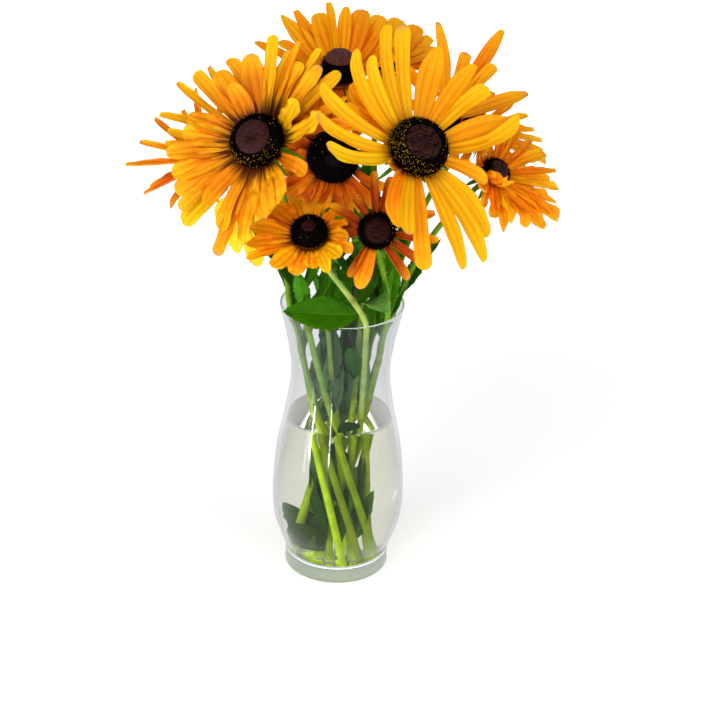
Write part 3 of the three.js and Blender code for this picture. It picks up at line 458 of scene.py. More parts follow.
def joined(shapes):
    """One shape from several, their points, faces and marks end to end."""
    starts = np.cumsum([0] + [len(shape.points) for shape in shapes[:-1]])
    return Shape(
        np.concatenate([shape.points for shape in shapes]),
        np.concatenate([shape.quads + start for shape, start in zip(shapes, starts)]),
        np.concatenate([shape.tris + start for shape, start in zip(shapes, starts)]),
        np.concatenate([shape.marks for shape in shapes]),
    )


def ring_faces(rows, around):
    """The numbers of the points in a stack of rings, those of their neighbours round the ring,
    and the four-sided faces from ring to ring."""
    here = np.arange(rows * around).reshape(rows, around)
    beside = np.roll(here, -1, axis=1)
    quads = np.stack([here[:-1], beside[:-1], beside[1:], here[1:]], axis=-1).reshape(-1, 4)
    return here, beside, quads


def outward(points, quads, tris, marks):
    """A closed shape with its faces pointing outwards. They are turned round if the volume inside
    them, the sum of each corner's product with the two others, comes out negative."""
    flat = np.concatenate([quads[:, [0, 1, 2]], quads[:, [0, 2, 3]], tris])
    a, b, c = (points - points.mean(axis=0))[flat.T]
    if np.einsum("ij,ij->", a, np.cross(b, c)) < 0:
        quads, tris = quads[:, ::-1], tris[:, ::-1]
    return Shape(points, quads, tris, marks)


def skin(rings, marks):
    """Closed skin over a stack of rings: four-sided faces from ring to ring, and a fan from each
    end ring to its middle."""
    rows, around = rings.shape[:2]
    ends = np.stack([rings[0].mean(axis=0), rings[-1].mean(axis=0)])
    end_marks = np.stack([marks[0].mean(axis=0), marks[-1].mean(axis=0)])
    here, beside, quads = ring_faces(rows, around)
    low, high = (np.full(around, rows * around + k) for k in (0, 1))
    tris = np.concatenate([
        np.stack([beside[0], here[0], low], axis=-1), np.stack([here[-1], beside[-1], high], axis=-1),
    ])
    points = np.concatenate([rings.reshape(-1, 3), ends])
    return outward(points, quads, tris, np.concatenate([marks.reshape(-1, 8), end_marks]))


def two_sided(top, bottom, marks):
    """Closed blade from an upper and a lower sheet that share their side edges: rings round the
    blade, joined row to row. The first and the last ring are zipped shut from edge to edge. The
    lower sheet's marks say that it is the back."""
    under = marks[:, -2:0:-1].copy()
    under[..., 3] = 1
    rings = np.concatenate([top, bottom[:, -2:0:-1]], axis=1)
    marks = np.concatenate([marks, under], axis=1)
    rows, around = rings.shape[:2]
    quads, tris = [ring_faces(rows, around)[2]], []
    upper = np.arange(top.shape[1])
    lower = (2 * len(upper) - 2 - upper) % around
    for row, way in ((0, -1), (rows - 1, 1)):
        strip = np.stack([upper[1:-2], upper[2:-1], lower[2:-1], lower[1:-2]], axis=-1)
        sides = np.array([[0, 1, lower[1]], [upper[-2], upper[-1], lower[-2]]])
        quads.append(strip[:, ::way] + row * around)
        tris.append(sides[:, ::way] + row * around)
    return outward(rings.reshape(-1, 3), np.concatenate(quads), np.concatenate(tris), marks.reshape(-1, 8))


def copies(shape, places, turns, sizes, colours):
    """The same small shape at many places. Each copy is scaled, then turned so that its Z lies
    along its own direction, then moved; it takes its own colour."""
    z = turns / np.linalg.norm(turns, axis=1, keepdims=True)
    helper = np.where(np.abs(z[:, 2:]) < 0.9, [[0.0, 0.0, 1.0]], [[1.0, 0.0, 0.0]])
    x = np.cross(helper, z)
    x /= np.linalg.norm(x, axis=1, keepdims=True)
    y = np.cross(z, x)
    local = shape.points[None] * sizes[:, None]
    points = local[..., :1] * x[:, None] + local[..., 1:2] * y[:, None] + local[..., 2:] * z[:, None]
    points = (points + places[:, None]).reshape(-1, 3)
    shift = (np.arange(len(places)) * len(shape.points))[:, None, None]
    marks = np.repeat(shape.marks[None], len(places), axis=0)
    marks[..., 4:7] = colours[:, None]
    return Shape(
        points, (shape.quads[None] + shift).reshape(-1, 4), (shape.tris[None] + shift).reshape(-1, 3),
        marks.reshape(-1, 8),
    )


def ring_marks(rows, around, colour=(1, 1, 1)):
    """Marks for a stack of rings: along counts the rings, across goes round each one."""
    marks = np.zeros((rows, around, 8))
    marks[..., 0] = np.linspace(0, 1, rows)[:, None]
    marks[..., 1] = np.linspace(0, 1, around)[None]
    marks[..., 4:7] = colour
    return marks


def blade_marks(T, S, chance, colour):
    """Marks for a blade's grid: T goes along it from 0 to 1, S across it from -1 to 1."""
    marks = np.zeros((*T.shape, 8))
    marks[..., 0], marks[..., 1], marks[..., 2] = T, (S + 1) / 2, chance
    marks[..., 4:7] = colour
    return marks


def circle(count):
    """Equal angles round a full turn."""
    return np.linspace(0, TURN, count, endpoint=False)


def turned(profile, sides, colour=(1, 1, 1)):
    """Solid of revolution about Z: the profile's radius and height at equal angles."""
    angle = circle(sides)
    radius, height = np.array(profile, float).T
    rings = np.stack([
        radius[:, None] * np.cos(angle), radius[:, None] * np.sin(angle),
        np.repeat(height[:, None], sides, axis=1),
    ], axis=-1)
    return skin(rings, ring_marks(len(radius), sides, colour))


def ease(low, high, x):
    """0 below low, 1 above high, and a smooth step between."""
    t = np.clip((x - low) / (high - low), 0, 1)
    return t * t * (3 - 2 * t)


def rounded(S):
    """A half circle across a blade: 1 in its middle and 0 at its edges."""
    return np.sqrt(np.clip(1 - S**2, 0, 1))


def laid(middle, across, sideways, rise, upward):
    """Points of a sheet: distances across and up from a middle line, along two directions."""
    return middle + across[..., None] * sideways + rise[..., None] * upward


def curled_line(T, start, length, lift, curl, clock):
    """The middle line of a petal or bract that leaves its bloom on a clock angle. It starts at a
    distance from the bloom's axis and at a height, leaves at the lift angle and turns by the curl
    along an arc. With it come the direction across it and the one that its upper face looks in."""
    angle = lift + curl * T
    out = start[0] + length * (np.sin(angle) - math.sin(lift)) / curl
    high = start[1] - length * (np.cos(angle) - math.cos(lift)) / curl
    radial = np.array([math.sin(clock), math.cos(clock), 0.0])
    sideways = np.array([math.cos(clock), -math.sin(clock), 0.0])
    upward = np.cos(angle)[..., None] * UP - np.sin(angle)[..., None] * radial
    return out[..., None] * radial + high[..., None] * UP, sideways, upward


def make_piece(name, shape, material, slot, *nodes, second=None):
    """Puts a shape into a smooth mesh in metres, with its marks as two colour attributes. Faces
    whose points all have a full back mark take the second material, where there is one."""
    mesh = bpy.data.meshes.new(name)
    mesh.vertices.add(len(shape.points))
    mesh.vertices.foreach_set("co", (shape.points * MM).ravel())
    corners = np.concatenate([shape.quads.ravel(), shape.tris.ravel()])
    sides = np.concatenate([np.full(len(shape.quads), 4), np.full(len(shape.tris), 3)])
    mesh.loops.add(len(corners))
    mesh.loops.foreach_set("vertex_index", corners.astype(np.int32))
    mesh.polygons.add(len(sides))
    mesh.polygons.foreach_set("loop_start", (np.cumsum(sides) - sides).astype(np.int32))
    mesh.polygons.foreach_set("use_smooth", np.ones(len(sides), bool))
    mesh.update(calc_edges=True)
    for mark, columns in (("blade", slice(0, 4)), ("tint", slice(4, 8))):
        layer = mesh.attributes.new(mark, "FLOAT_COLOR", "POINT")
        layer.data.foreach_set("color", np.ascontiguousarray(shape.marks[:, columns]).ravel())
    mesh.materials.append(material)
    if second:
        mesh.materials.append(second)
        marked = shape.marks[:, 3] > 0.5
        picked = np.concatenate([marked[shape.quads].all(axis=1), marked[shape.tris].all(axis=1)])
        mesh.polygons.foreach_set("material_index", picked.astype(np.int32))
    piece = bpy.data.objects.new(name, mesh)
    bpy.context.scene.collection.objects.link(piece)
    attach(piece, "root")
    if nodes:
        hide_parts(*nodes)
    return piece


# ---- Materials ----

class Value:
    """A node's output. Arithmetic with it adds a Math node for each operation."""

    def __init__(self, nodes, socket):
        self.nodes, self.socket = nodes, socket

    def __add__(self, other):
        return self.nodes.math("ADD", self, other)

    def __sub__(self, other):
        return self.nodes.math("SUBTRACT", self, other)

    def __rsub__(self, other):
        return self.nodes.math("SUBTRACT", other, self)

    def __mul__(self, other):
        return self.nodes.math("MULTIPLY", self, other)

    def __abs__(self):
        return self.nodes.math("ABSOLUTE", self)


class Nodes:
    """The node tree of a material or world, with short calls for the nodes that they share."""

    def __init__(self, owner, shader="Principled BSDF"):
        owner.use_nodes = True
        self.owner, self.tree = owner, owner.node_tree
        self.shader = self.tree.nodes[shader]

    def add(self, kind, inputs=None, output=0, **settings):
        """Adds a node with its settings, fills its inputs by number or name, and gives one of its
        outputs."""
        node = self.tree.nodes.new(kind)
        for key, value in settings.items():
            setattr(node, key, value)
        for key, value in (inputs or {}).items():
            self.plug(node.inputs[key], value)
        return Value(self, node.outputs[output])

    def plug(self, target, value):
        """Links a value to an input, or sets the input to a plain number or colour."""
        if isinstance(value, Value):
            self.tree.links.new(value.socket, target)
        elif hasattr(value, "__len__") and len(value) == 3 and len(target.default_value) == 4:
            target.default_value = (*value, 1)
        else:
            target.default_value = value

    def show(self, value, socket="Surface", output="Material Output"):
        """Links a shader to the tree's output."""
        self.plug(self.tree.nodes[output].inputs[socket], value)

    def math(self, kind, *values):
        return self.add("ShaderNodeMath", dict(enumerate(values)), operation=kind)

    def mix(self, share, first, second, blend="MIX"):
        """Colour mix: the first colour at share 0, the second at share 1."""
        inputs = {0: share, 6: first, 7: second}
        return self.add("ShaderNodeMix", inputs, 2, data_type="RGBA", blend_type=blend)

    def shaded(self, share, colour, factor):
        """A colour mixed by a share with itself times a factor."""
        return self.mix(share, colour, self.mix(1.0, colour, factor, "MULTIPLY"))

    def mixed_shader(self, share, first, second):
        return self.add("ShaderNodeMixShader", {0: share, 1: first, 2: second})

    def between(self, value, low, high, out_low=0.0, out_high=1.0):
        """Smooth step of a value from one range to another."""
        numbers = dict(enumerate((value, low, high, out_low, out_high)))
        return self.add("ShaderNodeMapRange", numbers, interpolation_type="SMOOTHSTEP")

    def blade(self):
        """A point's marks on its blade: along, across, own chance number, back side."""
        colour = self.add("ShaderNodeAttribute", output="Color", attribute_name="blade")
        parts = self.tree.nodes.new("ShaderNodeSeparateColor")
        self.plug(parts.inputs[0], colour)
        alpha = colour.socket.node.outputs["Alpha"]
        return [Value(self, socket) for socket in (*parts.outputs[:3], alpha)]

    def tint(self, output="Color"):
        """A point's own colour, or as its alpha its blush."""
        return self.add("ShaderNodeAttribute", output=output, attribute_name="tint")

    def vector(self, x, y, z):
        return self.add("ShaderNodeCombineXYZ", {0: x, 1: y, 2: z})

    def place(self):
        """Place on the object, in metres."""
        return self.add("ShaderNodeTexCoord", output="Object")

    def met_by(self):
        """What kind of light ray meets the surface, by the node's own names."""
        node = self.tree.nodes.new("ShaderNodeLightPath")
        return {socket.name: Value(self, socket) for socket in node.outputs}

    def noise(self, vector, scale, detail=2.0, rough=0.5):
        inputs = {"Vector": vector, "Scale": scale, "Detail": detail, "Roughness": rough}
        return self.add("ShaderNodeTexNoise", inputs, "Fac")

    def bump(self, height, distance, strength=1.0):
        inputs = {"Height": height, "Distance": distance, "Strength": strength}
        self.plug(self.shader.inputs["Normal"], self.add("ShaderNodeBump", inputs))

    def finish(self, colour, roughness, **constants):
        """Sets the colour and roughness, and plain constants by socket name, and gives the
        material."""
        self.plug(self.shader.inputs["Base Color"], colour)
        self.plug(self.shader.inputs["Roughness"], roughness)
        for key, value in constants.items():
            self.shader.inputs[key.replace("_", " ")].default_value = value
        return self.owner


def new_material(name):
    """The node tree of a new material."""
    return Nodes(bpy.data.materials.new(name))


# light that sinks into the skin: share of it, and how far each colour goes
PETAL_GLOW = {"Subsurface_Weight": 0.16, "Subsurface_Scale": 0.001, "Subsurface_Radius": (1.0, 0.4, 0.08)}
GREEN_GLOW = {"Subsurface_Weight": 0.12, "Subsurface_Scale": 0.001, "Subsurface_Radius": (0.5, 1.0, 0.2)}
CLEAR = {"Transmission_Weight": 1.0, "IOR": 1.5, "Specular_Tint": (0.3, 0.3, 0.3, 1)}
GLASS_TINT = (0.94, 0.945, 0.95)


def petal_material():
    """Satin petal: each ray's own colour, yellower towards the tip, a dark blush in streaks that
    climb from the root, painted shade in the grooves between the ribs and near the root, fine
    lengthwise veins, and a paler, duller back."""
    n = new_material("ray_petal")
    along, across, chance, back = n.blade()
    blush = n.tint("Alpha")
    veins = n.noise(n.vector(across * 34, along * 1.6, chance * 60), 1.0)
    blotch = n.noise(n.place(), 70.0)
    to_tip = n.between(along, 0.5, 1.0) * n.between(blotch, 0.2, 0.7, 0.25, 0.8)
    colour = n.mix(to_tip * 0.75, n.tint(), RAY_TIP)
    colour = n.shaded(n.between(veins, 0.35, 0.7, 0.0, 0.55), colour, (0.9, 0.6, 0.3))
    # painted shade: the grooves between the ribs are darkened, less so towards the tip
    painted_groove_shade = n.between(n.math("COSINE", across * (6 * math.pi)), -0.2, 1.0, 0.0, 0.6)
    colour = n.shaded(painted_groove_shade * n.between(along, 0.98, 0.6, 0.2, 1.0), colour, (0.86, 0.56, 0.3))
    streaks = n.noise(n.vector(across * 11, along * 0.7, chance * 90), 1.0, 3.0)
    climb = blush + (streaks - 0.5) * 0.55 - along
    shown = n.between(climb, -0.08, 0.16) * n.between(blush, 0.0, 0.08)
    colour = n.mix(shown * 0.92, colour, RAY_BLUSH)
    # painted shade: the colour darkens towards the root, where the rays crowd round the cone
    colour = n.shaded(n.between(along, 0.0, 0.22, 0.75, 0.0), colour, (0.62, 0.34, 0.2))
    colour = n.shaded(back * 0.5, colour, (0.95, 0.9, 0.8))
    withered = n.between(along, 0.92, 1.0) * n.between(chance, 0.7, 0.8)
    colour = n.mix(withered * 0.7, colour, RAY_WITHERED)
    n.bump(veins + blotch * 0.5, 0.00022, 0.6)
    return n.finish(colour, n.between(veins, 0.2, 0.8, 0.45, 0.62), Specular_IOR_Level=0.1, **PETAL_GLOW)


def cone_material():
    """Disc florets: each floret's own dark colour, mottled and matt."""
    n = new_material("disc_florets")
    speck = n.noise(n.place(), 900.0, 3.0, 0.6)
    colour = n.shaded(n.between(speck, 0.3, 0.75, 0.0, 0.7), n.tint(), (0.4, 0.32, 0.32))
    n.bump(speck, 0.0003, 0.7)
    return n.finish(colour, n.between(speck, 0.3, 0.7, 0.6, 0.8), Specular_IOR_Level=0.04)


def cap_material():
    """The cap of unopened florets: a tight skin with a little gloss, with painted shade in its fine
    folds. The second mark says how wrinkled each cap is."""
    n = new_material("cone_cap")
    wrinkled = n.blade()[1]
    speck = n.noise(n.place(), 1500.0, 3.0, 0.6)
    creases = abs(n.noise(n.place(), 380.0, 2.0, 0.75) - 0.5)
    # the folds sink the bump and darken the colour as painted shade
    fold_and_shade = n.between(creases, 0.0, 0.09, 1.0, 0.0) * wrinkled
    colour = n.shaded(n.between(speck, 0.35, 0.75, 0.0, 0.6), n.tint(), (0.5, 0.42, 0.42))
    colour = n.shaded(fold_and_shade * 0.8, colour, (0.16, 0.12, 0.12))
    n.bump(speck * 0.5 - fold_and_shade, 0.0004, 0.8)
    return n.finish(colour, n.between(speck, 0.3, 0.7, 0.3, 0.46), Specular_IOR_Level=0.07)


def green_material():
    """Soft green skin: each piece's own colour, with lighter and darker patches, and fine lines
    along each fibre painted lighter, partly as painted highlights."""
    n = new_material("green_skin")
    along, across, chance, back = n.blade()
    fibres_and_highlights = n.noise(n.vector(across * 26, along * 2.0, chance * 40), 1.0, 3.0)
    patches = n.noise(n.place(), 120.0, 3.0)
    # fine lengthwise lines painted lighter: partly each fibre's own colour, partly painted highlight
    colour = n.shaded(n.between(fibres_and_highlights, 0.3, 0.7, 0.0, 0.5), n.tint(), (1.7, 1.5, 1.7))
    colour = n.shaded(n.between(patches, 0.35, 0.7, 0.0, 0.6), colour, (0.46, 0.56, 0.4))
    colour = n.shaded(back * 0.5, colour, (1.1, 1.15, 1.15))
    n.bump(fibres_and_highlights + patches, 0.00025, 0.6)
    return n.finish(colour, n.between(patches, 0.3, 0.7, 0.45, 0.62), Specular_IOR_Level=0.05, **GREEN_GLOW)


def leaf_material():
    """Leaf blade: green with pale veins that leave the midrib in a fan, and a paler back."""
    n = new_material("leaf_blade")
    along, across, _, back = n.blade()
    tint = n.tint()
    side = abs(across * 2 - 1)
    rise = along * SIDE_VEINS[0] - side * SIDE_VEINS[1]
    wave = abs(n.math("FRACT", rise) - 0.5)
    vein = n.math("MAXIMUM", n.between(wave, 0.0, 0.07, 1.0, 0.0), n.between(side, 0.02, 0.08, 1.0, 0.0))
    patches = n.noise(n.place(), 160.0, 4.0, 0.6)
    colour = n.shaded(n.between(patches, 0.3, 0.72, 0.0, 0.75), tint, (0.5, 0.66, 0.42))
    colour = n.mix(vein * 0.5, colour, n.mix(1.0, tint, (1.7, 1.45, 1.3), "MULTIPLY"))
    colour = n.shaded(back * 0.5, colour, (1.15, 1.15, 1.3))
    n.bump(vein * -0.8 + patches, 0.0004, 0.7)
    return n.finish(colour, n.between(patches, 0.3, 0.7, 0.4, 0.6), Specular_IOR_Level=0.06, **GREEN_GLOW)


def let_through(n, colour):
    """Opens a clear piece to two kinds of ray. Light on its way to what stands in or under the
    piece only takes a tint, and a ray that has been mirrored once inside passes straight out,
    so that no light stays caught in the walls."""
    ray = n.met_by()
    open_to = n.math("MAXIMUM", ray["Is Shadow Ray"], ray["Is Reflection Ray"])
    clear = n.add("ShaderNodeBsdfTransparent", {"Color": colour})
    n.show(n.mixed_shader(open_to, Value(n, n.shader.outputs[0]), clear))
    return n.owner


def glass_material():
    """Clear glass, very slightly uneven, as pressed glass is. It takes a little more blue-grey the
    further light runs in it."""
    n = new_material("vase_glass")
    n.bump(n.noise(n.place(), 38.0, 1.0), 0.0006, 0.25)
    n.finish((0.85, 0.86, 0.87), 0.0, **CLEAR)
    n.show(n.add("ShaderNodeVolumeAbsorption", {"Color": (0.82, 0.84, 0.86), "Density": 50.0}), "Volume")
    return let_through(n, GLASS_TINT)


def underside_material():
    """The vase's underside, ground flat and so frosted."""
    n = new_material("vase_underside")
    n.finish((0.93, 0.94, 0.93), 0.55, **CLEAR)
    return let_through(n, GLASS_TINT)


def water_material():
    """Water with a faint yellow tint from the cut stems."""
    n = new_material("vase_water")
    n.finish((0.98, 0.97, 0.81), 0.0, **(CLEAR | {"IOR": 1.333, "Specular_Tint": (0.15, 0.15, 0.15, 1)}))
    return let_through(n, (0.98, 0.98, 0.95))


def floor_material():
    """Matte white floor, lit from below as a light table is: under the vase, and more so further
    out, where the lamps reach it less. A mirror sees it darker than the eye does, so that the
    glass keeps a grey edge."""
    n = new_material("white_floor")
    away = n.add("ShaderNodeVectorMath", {0: n.place()}, "Value", operation="LENGTH")
    ray = n.met_by()
    mirrored = ray["Is Reflection Ray"] * (1 - ray["Is Diffuse Ray"])
    seen = 1 - mirrored * 0.3
    glow = n.between(away, 0.025, 0.030, 2.2, 0.0) + n.between(away, 0.05, 1.3, 0.36, 0.9)
    n.plug(n.shader.inputs["Emission Color"], glow * seen)
    return n.finish(seen * 0.87, 0.8, Specular_IOR_Level=0.1, Emission_Strength=1.0)


# ---- Stems ----

def facing(azimuth, elevation):
    """Unit vector for an azimuth from -Y towards +X and an elevation, in degrees."""
    a, e = math.radians(azimuth), math.radians(elevation)
    return np.array([math.sin(a) * math.cos(e), -math.cos(a) * math.cos(e), math.sin(e)])


def bloom_frame(bloom):
    """Rows right, up and forward of a bloom, and the middle of its receptacle plate, which lies
    behind the cone's centre."""
    forward = facing(*bloom["faces"])
    a = math.radians(bloom["faces"][0])
    right = np.array([math.cos(a), math.sin(a), 0.0])
    origin = np.array(bloom["at"], float) - CONE_SEAT * bloom["cone"][1] * forward
    return np.stack([right, np.cross(forward, right), forward]), origin


def stem_path(bloom, count=400):
    """Points at equal steps along a stem: a straight run from the vase's floor to its mouth, then
    one cubic curve that leaves along the run and ends square behind the bloom."""
    ring, angle, lead, reach = bloom["stem"]
    low, high = (
        np.array([radius * math.cos(turn), radius * math.sin(turn), height])
        for radius, turn, height in zip(
            RINGS[ring], (math.radians(angle + STEM_TWIST), math.radians(angle)), (STEM_FOOT_Z, MOUTH_Z))
    )
    basis, origin = bloom_frame(bloom)
    end = origin - basis[2] * (RECEPTACLE_HALF + CUP_DEPTH + STEM_GAP)
    rise = (high - low) / np.linalg.norm(high - low)
    first, second = high + rise * lead, end - basis[2] * reach
    t = np.linspace(0, 1, count)[:, None]
    curve = high * (1 - t) ** 3 + 3 * first * t * (1 - t) ** 2 + 3 * second * t**2 * (1 - t) + end * t**3
    run = low + (high - low) * np.linspace(0, 1, count, endpoint=False)[:, None]
    line = np.concatenate([run, curve])
    length = np.concatenate([[0], np.cumsum(np.linalg.norm(np.diff(line, axis=0), axis=1))])
    even = np.linspace(0, length[-1], count)
    return np.stack([np.interp(even, length, line[:, k]) for k in range(3)], axis=1)


def stem_shape(bloom, colour, dice):
    """A ribbed stem: a ring about each point of its path, with shallow ribs, slightly thicker at
    the foot and at the joints where leaves grew. Inside the vase's neck its green is greyed by a
    painted haze of the glass's reflection, and it is brighter where it is soaked."""
    path = stem_path(bloom, STEM_GRID[0])
    ahead = np.gradient(path, axis=0)
    ahead /= np.linalg.norm(ahead, axis=1, keepdims=True)
    side = np.cross(ahead, [1.0, 0.0, 0.0])
    side /= np.linalg.norm(side, axis=1, keepdims=True)
    other = np.cross(ahead, side)
    turn = circle(STEM_GRID[1])
    along = np.linspace(0, 1, len(path))[:, None]
    joint = sum(np.exp(-((along - place) / 0.01) ** 2) for place in dice.uniform([0.28, 0.56], [0.46, 0.8]))
    radius = STEM_RADIUS * (1.0 - 0.26 * along + 0.2 * joint + 0.05 * np.cos(STEM_RIBS * turn)[None])
    rings = path[:, None] + radius[..., None] * (
        np.cos(turn)[None, :, None] * side[:, None] + np.sin(turn)[None, :, None] * other[:, None]
    )
    marks = ring_marks(len(path), len(turn))
    soaked = 1 - ease(WATER_LEVEL - 4, WATER_LEVEL + 25, path[:, 2])[:, None, None]
    # painted reflection: a grey haze of the glass laid over the green inside the neck
    glass_haze = 0.6 * (1 - ease(MOUTH_Z - 16, MOUTH_Z, path[:, 2]))[:, None, None]
    marks[..., 4:7] = colour + (GREEN_GLASS_HAZE - colour) * glass_haze
    marks[..., 4:7] += (GREEN_SOAKED * dice.uniform(0.5, 1.3) - marks[..., 4:7]) * soaked
    marks[..., 4:7] += 0.6 * joint[..., None] * (BROWN_JOINT - marks[..., 4:7])
    marks[..., 2] = dice.random()
    return skin(rings, marks), path, side, other


def hair_shape():
    """One stiff hair: a thin three-sided point, one unit long."""
    turn = np.arange(3) * TURN / 3
    ring = np.stack([np.cos(turn), np.sin(turn), np.zeros(3)], axis=1)
    return skin(np.stack([ring * [1, 1, 0], ring * [0.02, 0.02, 0] + [0, 0, 1]]), ring_marks(2, 3))


def stem_hairs(path, side, other, dice):
    """Hairs that stand out from the stem at chance places above the water, leaning forward."""
    high = np.nonzero(path[:, 2] > HAIR_FROM)[0]
    spot = dice.uniform(high[0], high[-1] - 1.01, HAIR_COUNT)
    index = spot.astype(int)
    share = (spot - index)[:, None]
    turn = dice.uniform(0, TURN, HAIR_COUNT)[:, None]
    out = np.cos(turn) * side[index] + np.sin(turn) * other[index]
    ahead = path[index + 1] - path[index]
    ahead /= np.linalg.norm(ahead, axis=1, keepdims=True)
    places = path[index] * (1 - share) + path[index + 1] * share + out * 0.86 * STEM_RADIUS
    length = dice.uniform(*HAIR_LENGTHS, HAIR_COUNT)[:, None]
    sizes = np.concatenate([np.full((HAIR_COUNT, 2), HAIR_RADIUS), length], axis=1)
    lean = out + 0.35 * ahead + 0.25 * dice.standard_normal((HAIR_COUNT, 3))
    return copies(hair_shape(), places, lean, sizes, np.repeat(GREEN_HAIR[None], HAIR_COUNT, axis=0))


# ---- Blooms ----

def run_out(slope, across):
    """Adds a slope up along the second axis by the trapezium rule, from the middle column out."""
    steps = (slope[:, 1:] + slope[:, :-1]) / 2 * np.diff(across)
    total = np.concatenate([np.zeros((len(slope), 1)), np.cumsum(steps, axis=1)], axis=1)
    return total - total[:, [len(across) // 2]]


def ray_shape(ray, tone, bloom, grid, dice):
    """One ray petal in its bloom's own frame: X right, Y up, Z forward.

    The centre line leaves the plate at the lift angle, turns by the curl along an arc and sways
    with the cube of the distance. Across it, the blade's slope grows evenly from the middle, so
    that the edges roll up, and faster near the edge, where the lip curls in; part of the roll
    opens towards the tip. Its width swells from the root to its widest place and eases to the
    blunt tip, whose end is half an ellipse scalloped by its ribs. Waves and a twist grow with the
    distance.
    """
    kind, clock, length, lift, curl, sway = (*ray, 0, 0)[:6]
    make = RAY_KINDS[kind]
    wild = bloom.get("wild", (0, 0))
    restless = bloom["unrest"] * (WILDER if wild[0] < clock < wild[1] else 1)
    width = make["width"] * bloom.get("plump", 1.0) * dice.uniform(0.94, 1.06)
    t = np.append(1 - (1 - np.linspace(0, 0.985, grid[0] - 1)) ** 1.3, 1)
    s = np.concatenate([[-1, -0.985], np.linspace(-0.94, 0.94, grid[1] - 4), [0.985, 1]])
    T, S = np.meshgrid(t, s, indexing="ij")
    round_off = min(0.45 * width * make["tip"] / length, 0.35)
    notch = dice.uniform(0.2, 1.0) * bloom.get("fringe", 1.0) * make["notch"]
    scallop = (1 - np.cos(3 * math.pi * S + dice.normal(0, 0.6))) / 2
    end = 1 - round_off * (1 - np.sqrt(1 - 0.97 * S**2)) - notch * scallop
    T = T * end
    widest = dice.uniform(0.52, 0.66)
    share = make["root"] + (1 - make["root"]) * np.sin(math.pi / 2 * np.clip(T / widest, 0, 1))
    share = share - (1 - make["tip"]) * np.clip((T - widest) / (1 - widest), 0, 1) ** 2
    opened = 1 - make["opens"] * ease(0.55, 0.98, T)
    edge = np.clip(np.abs(S) - 0.55, 0, 1) / 0.45
    slope = (math.pi * make["roll"] * S + math.radians(make["lip"]) * np.sign(S) * edge**2) * opened
    x = width / 2 * share * run_out(np.cos(slope), s)
    y = width / 2 * share * run_out(np.sin(slope), s)
    rib = make["rib"] * ease(0.0, 0.2, T) * share * np.cos(3 * math.pi * S + dice.normal(0, 0.25))
    phase = dice.uniform(0, TURN, 5)
    wave = 0.5 * restless * np.sin(7 * T + phase[0]) * T
    ripple = 0.7 * np.sin(11 * T + phase[1]) + 0.35 * np.sin(23 * T + phase[2])
    wave = wave + restless * S * np.abs(S) * ripple * ease(0.05, 0.5, T)
    crumple = 0.16 * restless * np.sin(31 * T + 5 * S + phase[3]) * np.sin(6 * S + phase[0])
    y = y + wave + crumple * share
    x = x + 0.6 * restless * np.sin(5 * T + phase[4]) * T
    twist = math.radians(dice.normal(0, 9)) * restless * T**2
    x, y = x * np.cos(twist) - y * np.sin(twist), x * np.sin(twist) + y * np.cos(twist)
    curl = math.radians(curl + dice.normal(0, 2.5) * restless) + 1e-4
    start = (ROOT_SHARE * bloom["cone"][0], 0)
    middle, sideways, upward = curled_line(T, start, length, math.radians(lift), curl, math.radians(clock))
    middle = middle + (length * math.tan(math.radians(sway)) * T**3)[..., None] * sideways
    half = (RAY_HALVES[0] - RAY_HALVES[1] * T) * rounded(S) * (1 - 0.8 * ease(0.96, 1.0, T / end))
    tilt = slope + twist
    sheets = [
        laid(middle, x - np.sin(tilt) * offset, sideways, y + np.cos(tilt) * offset, upward)
        for offset in (rib + half, rib - half)
    ]
    # a bloom's own factor darkens all its rays' colour as painted shade
    marks = blade_marks(T, S, dice.random(), tone * dice.uniform(0.9, 1.04) * bloom.get("deep", 1.0))
    marks[..., 7] = bloom["blush"] * dice.uniform(0.6, 1.3)
    return two_sided(*sheets, marks)


def plate_shape(bloom, colour):
    """The receptacle disc that the rays grow on, with a rounded edge."""
    flat = ROOT_SHARE * bloom["cone"][0] + 1.0 - PLATE_EDGE
    angles = np.linspace(-math.pi / 2, math.pi / 2, 9)
    edge = [(flat + PLATE_EDGE * math.cos(a), PLATE_HALF * math.sin(a)) for a in angles]
    return turned([(POLE, -PLATE_HALF), *edge, (POLE, PLATE_HALF)], 40, colour)


def cone_profile(radius, height, dimple, count=260):
    """Radius and height of a domed cone from its base to its tip. Above its widest place, a third
    of the way up, it is a superellipse; below, it narrows to 0.84 of the radius. A dimple sinks
    the middle."""
    base = RECEPTACLE_HALF + PART_GAP
    low = np.linspace(0, WIDEST_AT, count // 5, endpoint=False)
    under = radius * (1 - 0.16 * ((WIDEST_AT - low) / WIDEST_AT) ** 2)
    a = np.linspace(0, math.pi / 2, count - len(low))
    over = radius * np.cos(a) ** (2 / 2.2)
    high = WIDEST_AT + (1 - WIDEST_AT) * np.sin(a) ** (2 / 2.6)
    r = np.concatenate([under, over])
    h = base + (height - base) * np.concatenate([low, high])
    h = h - dimple * np.exp(-((r / (0.22 * radius)) ** 2)) * (r < 0.7 * radius)
    return r, h


